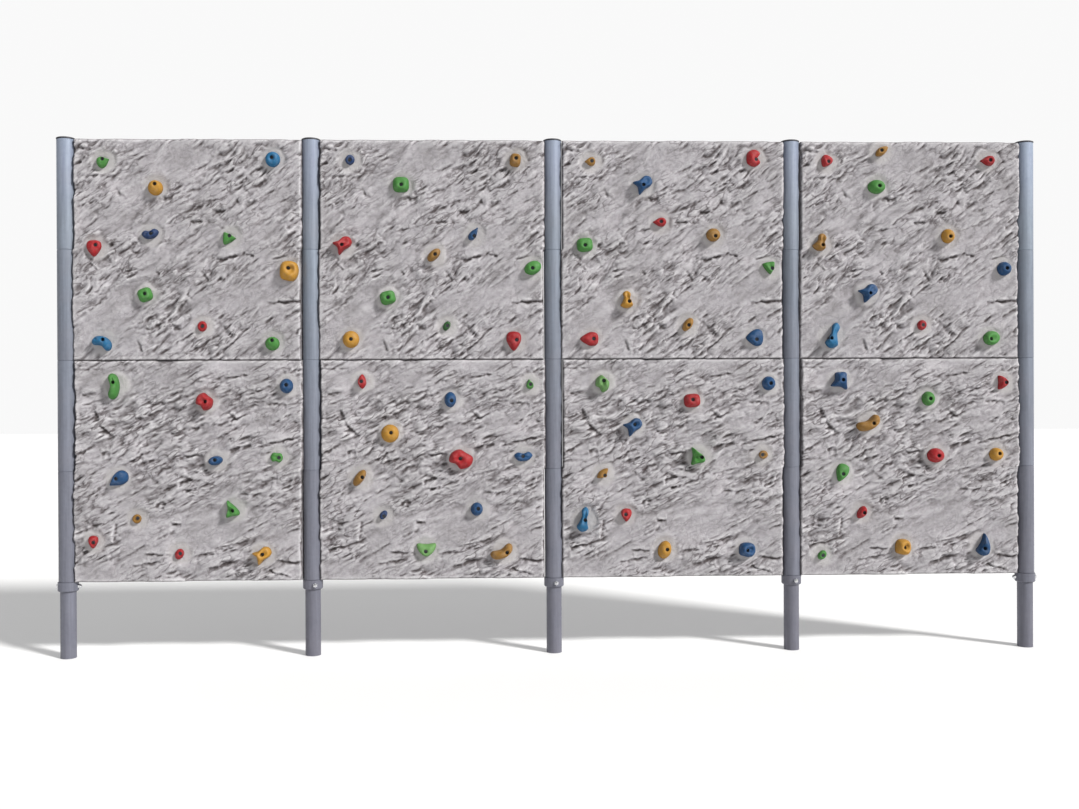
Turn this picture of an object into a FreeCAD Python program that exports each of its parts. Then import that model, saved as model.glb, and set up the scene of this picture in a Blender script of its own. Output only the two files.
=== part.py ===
"""Rock climbing wall: cast concrete panels hinged on steel posts, with bolted resin holds.

Frame: origin at the foot of the middle post, +X along the wall to the right as the climber
sees it, -Y towards the climber, +Z up.  Millimetres and degrees.
"""
import FreeCAD, Part
import math
import os
import Sketcher

doc = FreeCAD.newDocument("climbing_wall")

# ---------------------------------------------------------------- driving dimensions
SIZES = {
    "post_pitch": 1200.0,
    "post_outer_radius": 38.05,
    "post_wall": 3.6,
    "leg_length": 330.0,
    "mark_width": 2.0,
    "mark_depth": 0.6,
    "stack_clearance": 1.0,
    "sleeve_length": 545.0,
    "sleeve_clearance": 1.4,
    "sleeve_wall": 5.0,
    "sleeve_chamfer": 2.0,
    "turning_gap": 0.3,
    "anchor_radius": 6.0,
    "anchor_length": 110.0,
    "anchor_set_back": 22.0,
    "anchor_bite": 1.1,
    "collar_height": 45.0,
    "collar_wall": 10.7,
    "collar_clearance": 0.25,
    "collar_chamfer": 4.0,
    "collar_bolt_radius": 6.0,
    "collar_bolt_clearance": 0.5,
    "collar_bolt_flats": 19.0,
    "collar_head_height": 7.5,
    "collar_nut_height": 10.0,
    "collar_nut_dome": 8.6,
    "collar_nut_depth": 14.0,
    "cap_overhang": 1.5,
    "cap_thickness": 7.0,
    "cap_chamfer": 2.5,
    "cap_spigot_length": 25.0,
    "cap_spigot_clearance": 0.3,
    "panel_thickness": 80.0,
    "panel_grip": 8.0,
    "panel_side_gap": 6.0,
    "panel_row_gap": 6.0,
    "panel_edge_chamfer": 6.0,
    "mesh_bar_radius": 3.0,
    "mesh_set_back": 24.0,
    "mesh_side_margin": 170.0,
    "mesh_end_margin": 60.0,
    "insert_radius": 8.0,
    "insert_length": 55.0,
    "insert_thread_depth": 50.0,
    "hold_bolt_radius": 5.0,
    "hold_bolt_clearance": 0.5,
    "thread_clearance": 0.1,
    "hold_bolt_engagement": 42.0,
    "hold_bolt_head_radius": 8.0,
    "hold_bolt_head_height": 10.0,
    "hold_bolt_socket_flats": 8.0,
    "hold_bolt_socket_depth": 5.0,
    "hold_recess_clearance": 1.5,
    "hold_seat_height": 12.0,
    "hold_depth_small": 24.0,
    "hold_depth_edge": 32.0,
    "hold_depth_round": 42.0,
    "hold_depth_jug": 54.0,
}

POSTS = (1, 2, 3, 4, 5)
BAYS = (1, 2, 3, 4)
ROWS = ("upper", "lower")
MESH_BARS = 4

# Each mould has its own set of threaded sockets: (across, up) in mm.  A positive value counts
# from the left post's axis or the row's foot, a negative one from the right axis or the row's top.
PLACES = {
    "upper": {
        "p1": (188, -108), "p2": (442, -230), "p3": (-192, -98), "p4": (-400, -482),
        "p5": (152, -527), "p6": (-113, 449), "p7": (375, 305), "p8": (-534, 166),
        "p9": (193, 100), "p10": (-193, 95), "x1": (420, -471), "x2": (-593, 517),
        "x3": (531, -409), "x4": (456, -51), "x5": (391, 324), "x6": (369, 284),
    },
    "lower": {
        "q1": (242, -108), "q2": (-514, -204), "q3": (-124, -124), "q4": (396, -326),
        "q5": (-472, -490), "q6": (-163, -481), "q7": (247, 511), "q8": (350, 317),
        "q9": (-385, 352), "q10": (555, 142), "q11": (-244, 135), "y1": (137, 200),
        "y2": (388, -361), "y3": (147, 292), "y4": (145, 104),
    },
}

# The sockets of each casting sit a few mm along from those places, bay by bay.
DRIFT = {"upper": (12, 10, 6, -10), "lower": (10, 9, 5, 0)}

# Outlines of the hold shapes in a unit box, x to the right and z up as the climber sees them.
OUTLINES = {
    "shield": ((-0.42, 0.40), (0, 0.50), (0.42, 0.40), (0.50, 0.05), (0.24, -0.34), (0, -0.50),
               (-0.24, -0.34), (-0.50, 0.05)),
    "triangle": ((-0.42, 0.50), (0.08, 0.32), (0.48, 0.04), (0.46, -0.06), (0.08, -0.32),
                 (-0.42, -0.50), (-0.50, 0)),
    "drop": ((-0.50, 0), (-0.32, 0.42), (0.04, 0.42), (0.36, 0.14), (0.50, 0), (0.36, -0.16),
             (0, -0.45), (-0.34, -0.42)),
    "leaf": ((-0.50, 0), (-0.16, 0.44), (0.24, 0.36), (0.50, 0), (0.20, -0.36), (-0.20, -0.42)),
    "half_moon": ((-0.50, 0.46), (0, 0.44), (0.50, 0.46), (0.40, -0.12), (0, -0.50),
                  (-0.40, -0.12)),
    "kidney": ((0, 0.30), (0.28, 0.50), (0.50, 0.10), (0.34, -0.40), (0, -0.50), (-0.34, -0.40),
               (-0.50, 0.10), (-0.28, 0.50)),
    "bow": ((-0.50, 0.10), (-0.28, 0.42), (0, 0.30), (0.30, 0.48), (0.50, 0.10), (0.30, -0.36),
            (0, -0.50), (-0.30, -0.40)),
    "horn": ((0.50, 0.20), (0.36, 0.46), (0.08, 0.48), (-0.18, 0.26), (-0.50, 0.14),
             (-0.26, -0.08), (-0.16, -0.50), (0.12, -0.22), (0.40, -0.04)),
    "pin": ((0, 0.50), (0.30, 0.36), (0.22, 0.10), (0.36, -0.14), (0.50, -0.36), (0, -0.50),
            (-0.50, -0.36), (-0.36, -0.14), (-0.22, 0.10), (-0.30, 0.36)),
    "bean": ((-0.50, -0.22), (-0.38, 0.28), (0, 0.50), (0.38, 0.28), (0.50, -0.22), (0.36, -0.50),
             (0, -0.32), (-0.36, -0.50)),
    "fin": ((0.14, 0.50), (0.38, 0.26), (0.50, -0.12), (0.34, -0.44), (-0.06, -0.50),
            (-0.50, -0.28), (-0.30, -0.08), (-0.06, 0.18)),
    "flare": ((-0.22, 0.44), (0.12, 0.50), (0.46, 0.46), (0.44, 0), (0.50, -0.50), (0.10, -0.34),
              (-0.50, -0.30), (-0.26, 0.05)),
    "jug": ((-0.50, -0.30), (-0.44, 0.34), (-0.06, 0.50), (0.40, 0.36), (0.50, -0.10),
            (0.26, -0.50), (-0.20, -0.48)),
    "wedge": ((-0.42, 0.50), (-0.12, 0.34), (0.26, 0.08), (0.50, -0.20), (0.42, -0.38),
              (0, -0.44), (-0.46, -0.50), (-0.36, 0)),
    "lobes": ((-0.42, 0.30), (-0.08, 0.50), (0.22, 0.32), (0.50, 0.08), (0.40, -0.34), (0, -0.50),
              (-0.22, -0.24), (-0.50, -0.10)),
}
SUPERELLIPSES = {"dome": 2.0, "block": 3.2}
FAMILIES = {
    "round": ("dome", "block"),
    "edge": ("shield", "triangle", "drop", "leaf", "half_moon", "kidney", "bow"),
    "jug": ("horn", "pin", "bean", "fin", "flare", "jug", "wedge", "lobes"),
}
COLOURS = ("red", "blue", "green", "yellow")

# The holds of each panel: (place, shape, colour, width, height, turn, shift across, shift up).
# The shift is from the bolt to the middle of the shape.
HOLDS = {
    ("upper", 1): (
        ("p1", "drop", "green", 62, 57, 25, -5, -10),
        ("p2", "dome", "yellow", 72, 74, 0, -5, -15),
        ("p3", "dome", "blue", 72, 75, 0, 0, -5),
        ("x1", "bow", "blue", 84, 48, 8, -10, 0),
        ("p4", "triangle", "green", 62, 60, 0, -5, -10),
        ("p5", "shield", "red", 70, 81, 0, -15, -14),
        ("p6", "jug", "yellow", 90, 98, 0, 0, -10),
        ("x5", "block", "green", 70, 68, 20, -7, -3),
        ("p8", "dome", "red", 46, 52, 0, -6, 0),
        ("p9", "bean", "blue", 98, 58, -25, -15, -12),
        ("p10", "dome", "green", 70, 68, 0, -5, -15),
    ),
    ("upper", 2): (
        ("p1", "dome", "blue", 46, 50, 0, 0, 5),
        ("p2", "block", "green", 80, 77, 0, -4, 5),
        ("p3", "block", "yellow", 54, 66, -8, -4, -5),
        ("p4", "drop", "blue", 75, 38, 55, -4, 15),
        ("x2", "dome", "yellow", 80, 45, 45, -8, 0),
        ("p5", "horn", "red", 96, 92, 0, -4, 0),
        ("p6", "dome", "green", 88, 66, 25, 2, 5),
        ("p7", "block", "green", 76, 68, 15, -4, 1),
        ("p8", "dome", "green", 50, 34, 60, -5, 0),
        ("p9", "dome", "yellow", 82, 85, 0, -4, 0),
        ("p10", "shield", "red", 73, 97, 0, -14, -5),
    ),
    ("upper", 3): (
        ("p1", "drop", "yellow", 54, 46, 180, -8, 0),
        ("p2", "horn", "blue", 98, 94, 0, 0, 5),
        ("p3", "kidney", "red", 86, 68, -90, -10, 10),
        ("x3", "drop", "red", 68, 47, 180, -5, 0),
        ("p4", "dome", "yellow", 70, 66, 0, -5, 10),
        ("p5", "block", "green", 80, 70, 5, 0, 5),
        ("p6", "triangle", "green", 62, 60, -80, -10, 3),
        ("x6", "pin", "yellow", 60, 88, 0, -9, 12),
        ("p8", "dome", "yellow", 75, 42, 55, 0, 5),
        ("p9", "shield", "red", 68, 92, -90, -20, 0),
        ("p10", "shield", "blue", 84, 86, -90, -5, 10),
    ),
    ("upper", 4): (
        ("p1", "shield", "red", 56, 62, -30, -6, 5),
        ("x4", "leaf", "yellow", 75, 45, 35, 8, 0),
        ("p2", "dome", "green", 88, 70, 0, -6, 0),
        ("p3", "drop", "red", 72, 53, 180, -6, 0),
        ("p4", "dome", "yellow", 64, 72, 0, -2, 5),
        ("p5", "pin", "yellow", 60, 90, -20, -2, 20),
        ("p6", "dome", "blue", 68, 70, 0, -2, 0),
        ("x5", "horn", "blue", 98, 94, 0, 0, 2),
        ("p8", "dome", "red", 46, 52, -20, 0, 0),
        ("p9", "pin", "blue", 62, 132, -15, 24, 15),
        ("p10", "dome", "green", 84, 72, 10, 14, 5),
    ),
    ("lower", 1): (
        ("q1", "bean", "green", 128, 52, -90, -8, -20),
        ("q2", "lobes", "red", 82, 88, 0, -14, 0),
        ("q3", "dome", "blue", 65, 73, 0, -4, -5),
        ("q5", "dome", "blue", 70, 45, 10, -4, -5),
        ("q6", "lobes", "green", 58, 58, 30, -15, 0),
        ("q7", "drop", "blue", 104, 72, 215, 6, -5),
        ("q8", "dome", "yellow", 44, 45, 0, -10, -5),
        ("q9", "wedge", "green", 66, 82, 0, -8, 5),
        ("y1", "shield", "red", 45, 62, 0, -8, 0),
        ("q10", "dome", "red", 54, 42, 65, -10, -5),
        ("q11", "horn", "yellow", 94, 90, 0, -8, -10),
    ),
    ("lower", 2): (
        ("q1", "leaf", "red", 72, 46, 90, 2, 0),
        ("q2", "dome", "blue", 58, 76, 0, -8, 5),
        ("q3", "drop", "green", 50, 38, 100, -4, 0),
        ("y2", "dome", "yellow", 88, 90, 0, -8, -5),
        ("q5", "lobes", "red", 117, 98, 0, 2, -5),
        ("q6", "bow", "blue", 92, 48, 0, 2, -2),
        ("q7", "dome", "yellow", 92, 45, 55, -18, -5),
        ("q8", "dome", "blue", 48, 33, 55, -4, 5),
        ("q9", "dome", "blue", 60, 66, 0, -8, -5),
        ("q10", "half_moon", "green", 92, 66, 0, 2, 5),
        ("q11", "bean", "yellow", 118, 56, 207, -23, -5),
    ),
    ("lower", 3): (
        ("q1", "lobes", "green", 68, 86, 0, -4, -15),
        ("q2", "block", "red", 82, 68, 5, 1, -5),
        ("q3", "dome", "blue", 66, 70, 0, -4, 0),
        ("q4", "horn", "blue", 96, 92, 0, -8, -15),
        ("q5", "wedge", "green", 70, 86, 0, -14, 5),
        ("q6", "dome", "yellow", 46, 42, 0, 8, 0),
        ("q7", "leaf", "yellow", 70, 38, 40, -9, 10),
        ("y3", "pin", "blue", 56, 126, -10, -4, 0),
        ("q8", "shield", "red", 52, 66, 0, 6, -5),
        ("q10", "dome", "yellow", 66, 90, -15, -9, -5),
        ("q11", "jug", "blue", 80, 70, 0, 6, 0),
    ),
    ("lower", 4): (
        ("q1", "flare", "blue", 78, 88, 0, -10, -5),
        ("q2", "dome", "green", 64, 72, 0, 0, 0),
        ("q3", "half_moon", "red", 68, 46, 90, -10, 0),
        ("q4", "bean", "yellow", 124, 60, 207, -13, -5),
        ("q5", "dome", "red", 85, 73, 0, -5, 0),
        ("q6", "dome", "yellow", 68, 66, 0, -5, -5),
        ("q7", "shield", "green", 62, 92, -20, 0, 5),
        ("q8", "dome", "red", 68, 38, 60, -5, 0),
        ("y4", "dome", "green", 52, 38, 50, 0, 0),
        ("q10", "jug", "yellow", 75, 78, 0, 0, 0),
        ("q11", "fin", "blue", 66, 112, 0, 5, 15),
    ),
}


def add_sizes():
    """Put every driving dimension and socket place in the sheet under its own name."""
    table = dict(SIZES)
    for row in ROWS:
        for place, (across, up) in PLACES[row].items():
            table[f"{row}_{place}_across"] = across
            table[f"{row}_{place}_up"] = up
        for bay, drift in zip(BAYS, DRIFT[row]):
            table[f"{row}_drift_{bay}"] = drift
    sheet = doc.addObject("Spreadsheet::Sheet", "sizes")
    for line, (alias, value) in enumerate(table.items(), start=1):
        sheet.set(f"A{line}", alias)
        sheet.set(f"B{line}", str(value))
        sheet.setAlias(f"B{line}", alias)
    doc.recompute()
    return sheet


sheet = add_sizes()


def size(alias):
    return float(getattr(sheet, alias))


# ---------------------------------------------------------------- worked-out expressions
SLEEVE_BORE = "(sizes.post_outer_radius + sizes.sleeve_clearance)"
SLEEVE_OUTER = f"({SLEEVE_BORE} + sizes.sleeve_wall)"
COLLAR_BORE = "(sizes.post_outer_radius + sizes.collar_clearance)"
COLLAR_OUTER = f"({COLLAR_BORE} + sizes.collar_wall)"
STACK_FOOT = "(sizes.leg_length + sizes.collar_height)"
POST_TOP = f"({STACK_FOOT} + 4 * sizes.sleeve_length + sizes.stack_clearance)"
BOLT_HEIGHT = "(sizes.leg_length + sizes.collar_height / 2)"
PANEL_FRONT = "(0 - sizes.panel_thickness / 2)"
NUT_SPAN = f"({COLLAR_OUTER} + sizes.collar_nut_height)"


def post_x(post):
    """X of a post's axis."""
    return f"({post - 3} * sizes.post_pitch)"


def row_foot(row):
    """Z of the foot of a row of panels."""
    return STACK_FOOT if row == "lower" else f"({STACK_FOOT} + 2 * sizes.sleeve_length)"


def place_x(row, bay, place):
    """X of a socket: its bay's left or right axis plus the signed distance and the drift."""
    post = bay if PLACES[row][place][0] > 0 else bay + 1
    return f"({post_x(post)} + sizes.{row}_{place}_across + sizes.{row}_drift_{bay})"


def place_z(row, place):
    """Z of a socket: its row's foot or top plus the signed distance."""
    rise = "" if PLACES[row][place][1] > 0 else " + 2 * sizes.sleeve_length"
    return f"({row_foot(row)}{rise} + sizes.{row}_{place}_up)"


# ---------------------------------------------------------------- building helpers
nodes = []


def keep(obj, node):
    """Name a finished sub-part and list it for export."""
    obj.Label = node
    nodes.append(obj)
    return obj


def put(obj, x="0", y="0", z="0", turn=None, axis=(0, 0, 1)):
    """Bind an object's place to expressions, and give it a fixed turn about an axis."""
    prop = "LinkPlacement" if obj.TypeId == "App::Link" else "Placement"
    if turn is not None:
        place = FreeCAD.Placement(FreeCAD.Vector(), FreeCAD.Rotation(FreeCAD.Vector(axis), turn))
        setattr(obj, prop, place)
    for letter, expression in (("x", x), ("y", y), ("z", z)):
        if expression != "0":
            obj.setExpression(f"{prop}.Base.{letter}", expression)
    return obj


def bound(kind, name, **expressions):
    """A Part primitive with each named size bound to an expression."""
    obj = doc.addObject(kind, name)
    for prop, expression in expressions.items():
        obj.setExpression(prop, expression)
    return obj


def fuse(name, shapes):
    obj = doc.addObject("Part::MultiFuse", name)
    obj.Shapes = shapes
    return obj


def cut(name, base, tools):
    obj = doc.addObject("Part::Cut", name)
    obj.Base = base
    obj.Tool = tools[0] if len(tools) == 1 else fuse(f"{name}_tools", tools)
    return obj


def group(name, members):
    obj = doc.addObject("Part::Compound", name)
    obj.Links = members
    return obj


def copy_of(master, name):
    link = doc.addObject("App::Link", name)
    link.LinkedObject = master
    return link


def turned_body(name, profile):
    """A PartDesign body turned about Z from corners given as (radius, height) expressions."""
    body = doc.addObject("PartDesign::Body", name)
    sketch = body.newObject("Sketcher::SketchObject", f"{name}_profile")
    plane = next(item for item in body.Origin.OriginFeatures if item.Role == "XZ_Plane")
    sketch.AttachmentSupport = [(plane, "")]
    sketch.MapMode = "FlatFace"
    count = len(profile)
    start = []
    for corner in range(count):
        angle = -0.75 * math.pi + 2 * math.pi * corner / count
        start.append(FreeCAD.Vector(100 + 50 * math.cos(angle), 100 + 50 * math.sin(angle), 0))
    for corner in range(count):
        edge = Part.LineSegment(start[corner], start[(corner + 1) % count])
        sketch.addGeometry(edge, False)
    for corner in range(count):
        following = (corner + 1) % count
        sketch.addConstraint(Sketcher.Constraint("Coincident", corner, 2, following, 1))
    for corner, (radius, height) in enumerate(profile):
        for kind, expression, value, axis in (("DistanceX", radius, start[corner].x, -2),
                                              ("DistanceY", height, start[corner].y, -1)):
            if expression == "0":
                sketch.addConstraint(Sketcher.Constraint("PointOnObject", corner, 1, axis))
                continue
            rule = Sketcher.Constraint(kind, -1, 1, corner, 1, value)
            index = sketch.addConstraint(rule)
            sketch.setExpression(f"Constraints[{index}]", expression)
    turn = body.newObject("PartDesign::Revolution", f"{name}_turn")
    turn.Profile = sketch
    turn.ReferenceAxis = (sketch, ["V_Axis"])
    turn.Angle = 360
    return body


def chamfered_tube(name, bore, outer, length, chamfer):
    """A tube standing on z = 0 with its outer rims chamfered."""
    return turned_body(name, (
        (bore, "0"),
        (f"{outer} - {chamfer}", "0"),
        (outer, chamfer),
        (outer, f"{length} - {chamfer}"),
        (f"{outer} - {chamfer}", length),
        (bore, length),
    ))


# ---------------------------------------------------------------- posts
def bolt_turn(post):
    """The dome nut looks inwards on the end posts and forwards on the others."""
    return {1: 0, 2: -70, 5: 180}.get(post, -80)


def cross_hole(name, turn):
    """The drill path of a collar bolt, right across a post and its collar."""
    span = f"({COLLAR_OUTER} * 2 + 20)"
    drill = bound("Part::Cylinder", name,
                  Radius="sizes.collar_bolt_radius + sizes.collar_bolt_clearance", Height=span)
    lying = copy_of(drill, f"{name}_lying")
    half = f"{span} / 2"
    rotation = FreeCAD.Rotation(turn, 90, 0)
    lying.LinkPlacement = FreeCAD.Placement(FreeCAD.Vector(), rotation)
    cosine = math.cos(math.radians(turn))
    sine = math.sin(math.radians(turn))
    return put(lying, x=f"0 - {half} * {cosine:.9f}", y=f"0 - {half} * {sine:.9f}",
               z=BOLT_HEIGHT)


def make_posts():
    """Five tubes, each with a set-out mark turned just below its stop collar and a cross hole
    where the collar is bolted."""
    inner = "(sizes.post_outer_radius - sizes.post_wall)"
    outer = "sizes.post_outer_radius"
    marked = "(sizes.post_outer_radius - sizes.mark_depth)"
    mark_foot = "(sizes.leg_length - sizes.mark_width)"
    for post in POSTS:
        tube = turned_body(f"post_tube_{post}", (
            (inner, "0"), (outer, "0"), (outer, mark_foot), (marked, mark_foot),
            (marked, "sizes.leg_length"), (outer, "sizes.leg_length"),
            (outer, POST_TOP), (inner, POST_TOP)))
        drilled = cut(f"post_{post}_drilled", tube,
                      [cross_hole(f"post_drill_{post}", bolt_turn(post))])
        keep(put(drilled, x=post_x(post)), f"post_{post}")


def make_caps():
    """Turned lids with a spigot that drops into the post's bore."""
    rim = f"({SLEEVE_OUTER} + sizes.cap_overhang)"
    spigot = "(sizes.post_outer_radius - sizes.post_wall - sizes.cap_spigot_clearance)"
    drop = "sizes.cap_spigot_length"
    top = f"({drop} + sizes.cap_thickness)"
    for post in POSTS:
        cap = turned_body(f"cap_{post}", (
            ("0", "0"), (spigot, "0"), (spigot, drop), (rim, drop),
            (rim, f"{top} - sizes.cap_chamfer"),
            (f"{rim} - 2 * sizes.cap_chamfer", top), ("0", top)))
        put(cap, x=post_x(post), z=f"{POST_TOP} - sizes.cap_spigot_length")
        keep(cap, f"post_cap_{post}")


def make_collars():
    """Stop collars under each stack of sleeves, chamfered below and cross drilled."""
    outer = COLLAR_OUTER
    chamfer = "sizes.collar_chamfer"
    for post in POSTS:
        ring = turned_body(f"collar_ring_{post}", (
            (COLLAR_BORE, "0"), (f"{outer} - {chamfer}", "0"), (outer, chamfer),
            (outer, f"sizes.collar_height - {chamfer} / 3"),
            (f"{outer} - {chamfer} / 3", "sizes.collar_height"),
            (COLLAR_BORE, "sizes.collar_height")))
        put(ring, z="sizes.leg_length")
        drilled = cut(f"collar_{post}_drilled", ring,
                      [cross_hole(f"collar_drill_{post}", bolt_turn(post))])
        keep(put(drilled, x=post_x(post)), f"stop_collar_{post}")


def hexagon(name, flats, height):
    """A hexagonal bar standing on z = 0, sized across its flats."""
    return bound("Part::Prism", name, Circumradius=f"{flats} / 2 / cos(30)", Height=height)


def make_collar_fasteners():
    """One bolt and one dome nut across every collar, modelled along Z and laid down."""
    reach = f"({COLLAR_OUTER} * 2 + sizes.collar_nut_depth - 1)"
    shank = bound("Part::Cylinder", "collar_shank", Radius="sizes.collar_bolt_radius",
                  Height=reach)
    head = hexagon("collar_head", "sizes.collar_bolt_flats", "sizes.collar_head_height")
    put(head, z="0 - sizes.collar_head_height")
    bolt = fuse("collar_bolt", [shank, head])

    flats = hexagon("nut_flats", "sizes.collar_bolt_flats", "sizes.collar_nut_height")
    dome = bound("Part::Sphere", "nut_dome", Radius="sizes.collar_nut_dome")
    put(dome, z="sizes.collar_nut_height")
    bore = bound("Part::Cylinder", "nut_bore",
                 Radius="sizes.collar_bolt_radius + sizes.thread_clearance",
                 Height="sizes.collar_nut_depth")
    nut = cut("dome_nut", fuse("nut_body", [flats, dome]), [bore])

    for master, node, side in ((bolt, "collar_bolts", -1), (nut, "collar_dome_nuts", 1)):
        laid = []
        for post in POSTS:
            turn = bolt_turn(post)
            copy = copy_of(master, f"{node}_{post}")
            copy.LinkPlacement = FreeCAD.Placement(FreeCAD.Vector(),
                                                   FreeCAD.Rotation(turn, 90, 0))
            along = f"{side} * {COLLAR_OUTER}"
            put(copy, x=f"{post_x(post)} + {along} * {math.cos(math.radians(turn)):.9f}",
                y=f"{along} * {math.sin(math.radians(turn)):.9f}", z=BOLT_HEIGHT)
            laid.append(copy)
        keep(group(node, laid), node)


# ---------------------------------------------------------------- sleeves
def anchor_start():
    """Distance from the post's axis at which a tangent anchor bar bites into the sleeve."""
    return f"(sqrt({SLEEVE_OUTER} ^ 2 - sizes.anchor_set_back ^ 2) - sizes.anchor_bite)"


def anchor_bars(name, side):
    """Three bars along X that run from a sleeve at the origin into its panel."""
    bars = []
    for step, share in enumerate((0.15, 0.5, 0.85), start=1):
        bar = bound("Part::Cylinder", f"{name}_bar_{step}", Radius="sizes.anchor_radius",
                    Height="sizes.anchor_length")
        start = f"{side} * {anchor_start()}"
        put(bar, x=start, y="sizes.anchor_set_back", z=f"{share} * sizes.sleeve_length",
            turn=90 * side, axis=(0, 1, 0))
        bars.append(bar)
    return bars


def make_knuckle_masters():
    """A hinge sleeve with its welded anchor bars, for a panel on its right and on its left."""
    masters = {}
    for name, side in (("knuckle_facing_right", 1), ("knuckle_facing_left", -1)):
        tube = chamfered_tube(f"{name}_tube", SLEEVE_BORE, SLEEVE_OUTER, "sizes.sleeve_length",
                              "sizes.sleeve_chamfer")
        masters[side] = fuse(name, [tube] + anchor_bars(name, side))
    return masters


def make_knuckles(masters):
    """Each panel has a sleeve low on its left edge and one high on its right edge."""
    for row in ROWS:
        for bay in BAYS:
            for edge, side, post, lift in (("left", 1, bay, "0"),
                                           ("right", -1, bay + 1, "sizes.sleeve_length")):
                copy = copy_of(masters[side], f"knuckle_{row}_{bay}_{edge}")
                put(copy, x=post_x(post), z=f"{row_foot(row)} + {lift}")
                keep(copy, f"hinge_sleeve_{row}_{bay}_{edge}")


def make_spacers():
    """Plain sleeves fill the free places at both ends; the top left one can turn."""
    stack = (("spacer_sleeve_left_top", 1, 3), ("spacer_sleeve_left_low", 1, 1),
             ("spacer_sleeve_right_high", 5, 2), ("spacer_sleeve_right_foot", 5, 0))
    for node, post, level in stack:
        loose = node == "spacer_sleeve_left_top"
        gap = "sizes.turning_gap" if loose else "0"
        tube = chamfered_tube(f"{node}_tube", SLEEVE_BORE, SLEEVE_OUTER,
                              f"(sizes.sleeve_length - 2 * {gap})", "sizes.sleeve_chamfer")
        put(tube, x=post_x(post), z=f"{STACK_FOOT} + {level} * sizes.sleeve_length + {gap}")
        keep(tube, node)


# ---------------------------------------------------------------- panels
def socket_hole(row, bay, place):
    """The blind hole that a cast-in socket fills."""
    hole = bound("Part::Cylinder", f"hole_{row}_{bay}_{place}", Radius="sizes.insert_radius",
                 Height="sizes.insert_length")
    return put(hole, x=place_x(row, bay, place), y=PANEL_FRONT, z=place_z(row, place),
               turn=-90, axis=(1, 0, 0))


def gap_block(name, side, post, foot):
    """Clears a panel's edge beside a sleeve that belongs to its neighbour."""
    reach = f"({SLEEVE_OUTER} + sizes.panel_side_gap)"
    block = bound("Part::Box", name, Length=reach, Width="sizes.panel_thickness * 2",
                  Height="sizes.sleeve_length")
    x = post_x(post) if side > 0 else f"{post_x(post)} - {reach}"
    return put(block, x=x, y="0 - sizes.panel_thickness", z=foot)


def grip_cylinder(name, post, foot):
    """The hollow that a panel's own sleeve lies in."""
    hollow = bound("Part::Cylinder", name, Radius=SLEEVE_OUTER, Height="sizes.sleeve_length")
    return put(hollow, x=post_x(post), z=foot)


def moved_bars(name, side, post, foot):
    bars = group(f"{name}_bars", anchor_bars(name, side))
    return put(copy_of(bars, f"{name}_cavity"), x=post_x(post), z=foot)


def make_panel(row, bay):
    """One precast slab: chamfered block, edge clearances, sleeve hollows and socket holes."""
    inset = f"({SLEEVE_OUTER} - sizes.panel_grip)"
    low = row_foot(row)
    high = f"{low} + sizes.sleeve_length"
    name = f"{row}_{bay}"
    block = bound("Part::Box", f"block_{name}", Length=f"sizes.post_pitch - 2 * {inset}",
                  Width="sizes.panel_thickness",
                  Height="2 * sizes.sleeve_length - sizes.panel_row_gap")
    put(block, x=f"{post_x(bay)} + {inset}", y=PANEL_FRONT,
        z=f"{low} + sizes.panel_row_gap / 2")
    tools = [
        grip_cylinder(f"grip_left_{name}", bay, low),
        gap_block(f"gap_left_{name}", 1, bay, high),
        grip_cylinder(f"grip_right_{name}", bay + 1, high),
        gap_block(f"gap_right_{name}", -1, bay + 1, low),
        moved_bars(f"anchor_left_{name}", 1, bay, low),
        moved_bars(f"anchor_right_{name}", -1, bay + 1, high),
    ]
    tools += [socket_hole(row, bay, hold[0]) for hold in HOLDS[row, bay]]
    keep(cut(f"slab_{name}", block, tools), f"panel_{row}_{bay}")


def make_reinforcement():
    """A welded mat of bars behind the sockets of every panel."""
    rise = "(2 * sizes.sleeve_length - 2 * sizes.mesh_end_margin)"
    run = "(sizes.post_pitch - 2 * sizes.mesh_side_margin)"
    bars = []
    for step in range(MESH_BARS):
        share = f"{step} / {MESH_BARS - 1}"
        upright = bound("Part::Cylinder", f"mesh_upright_{step}",
                        Radius="sizes.mesh_bar_radius", Height=rise)
        put(upright, x=f"sizes.mesh_side_margin + {run} * (0.05 + 0.9 * {share})",
            y="sizes.mesh_set_back - sizes.mesh_bar_radius * 0.8", z="sizes.mesh_end_margin")
        cross = bound("Part::Cylinder", f"mesh_cross_{step}",
                      Radius="sizes.mesh_bar_radius", Height=run)
        put(cross, x="sizes.mesh_side_margin",
            y="sizes.mesh_set_back + sizes.mesh_bar_radius * 0.8",
            z=f"sizes.mesh_end_margin + {rise} * (0.05 + 0.9 * {share})",
            turn=90, axis=(0, 1, 0))
        bars += [upright, cross]
    mat = fuse("mesh_mat", bars)
    mats = []
    for row in ROWS:
        for bay in BAYS:
            mats.append(put(copy_of(mat, f"mat_{row}_{bay}"), x=post_x(bay), z=row_foot(row)))
    keep(group("reinforcement_mats", mats), "reinforcement_mesh")


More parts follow.
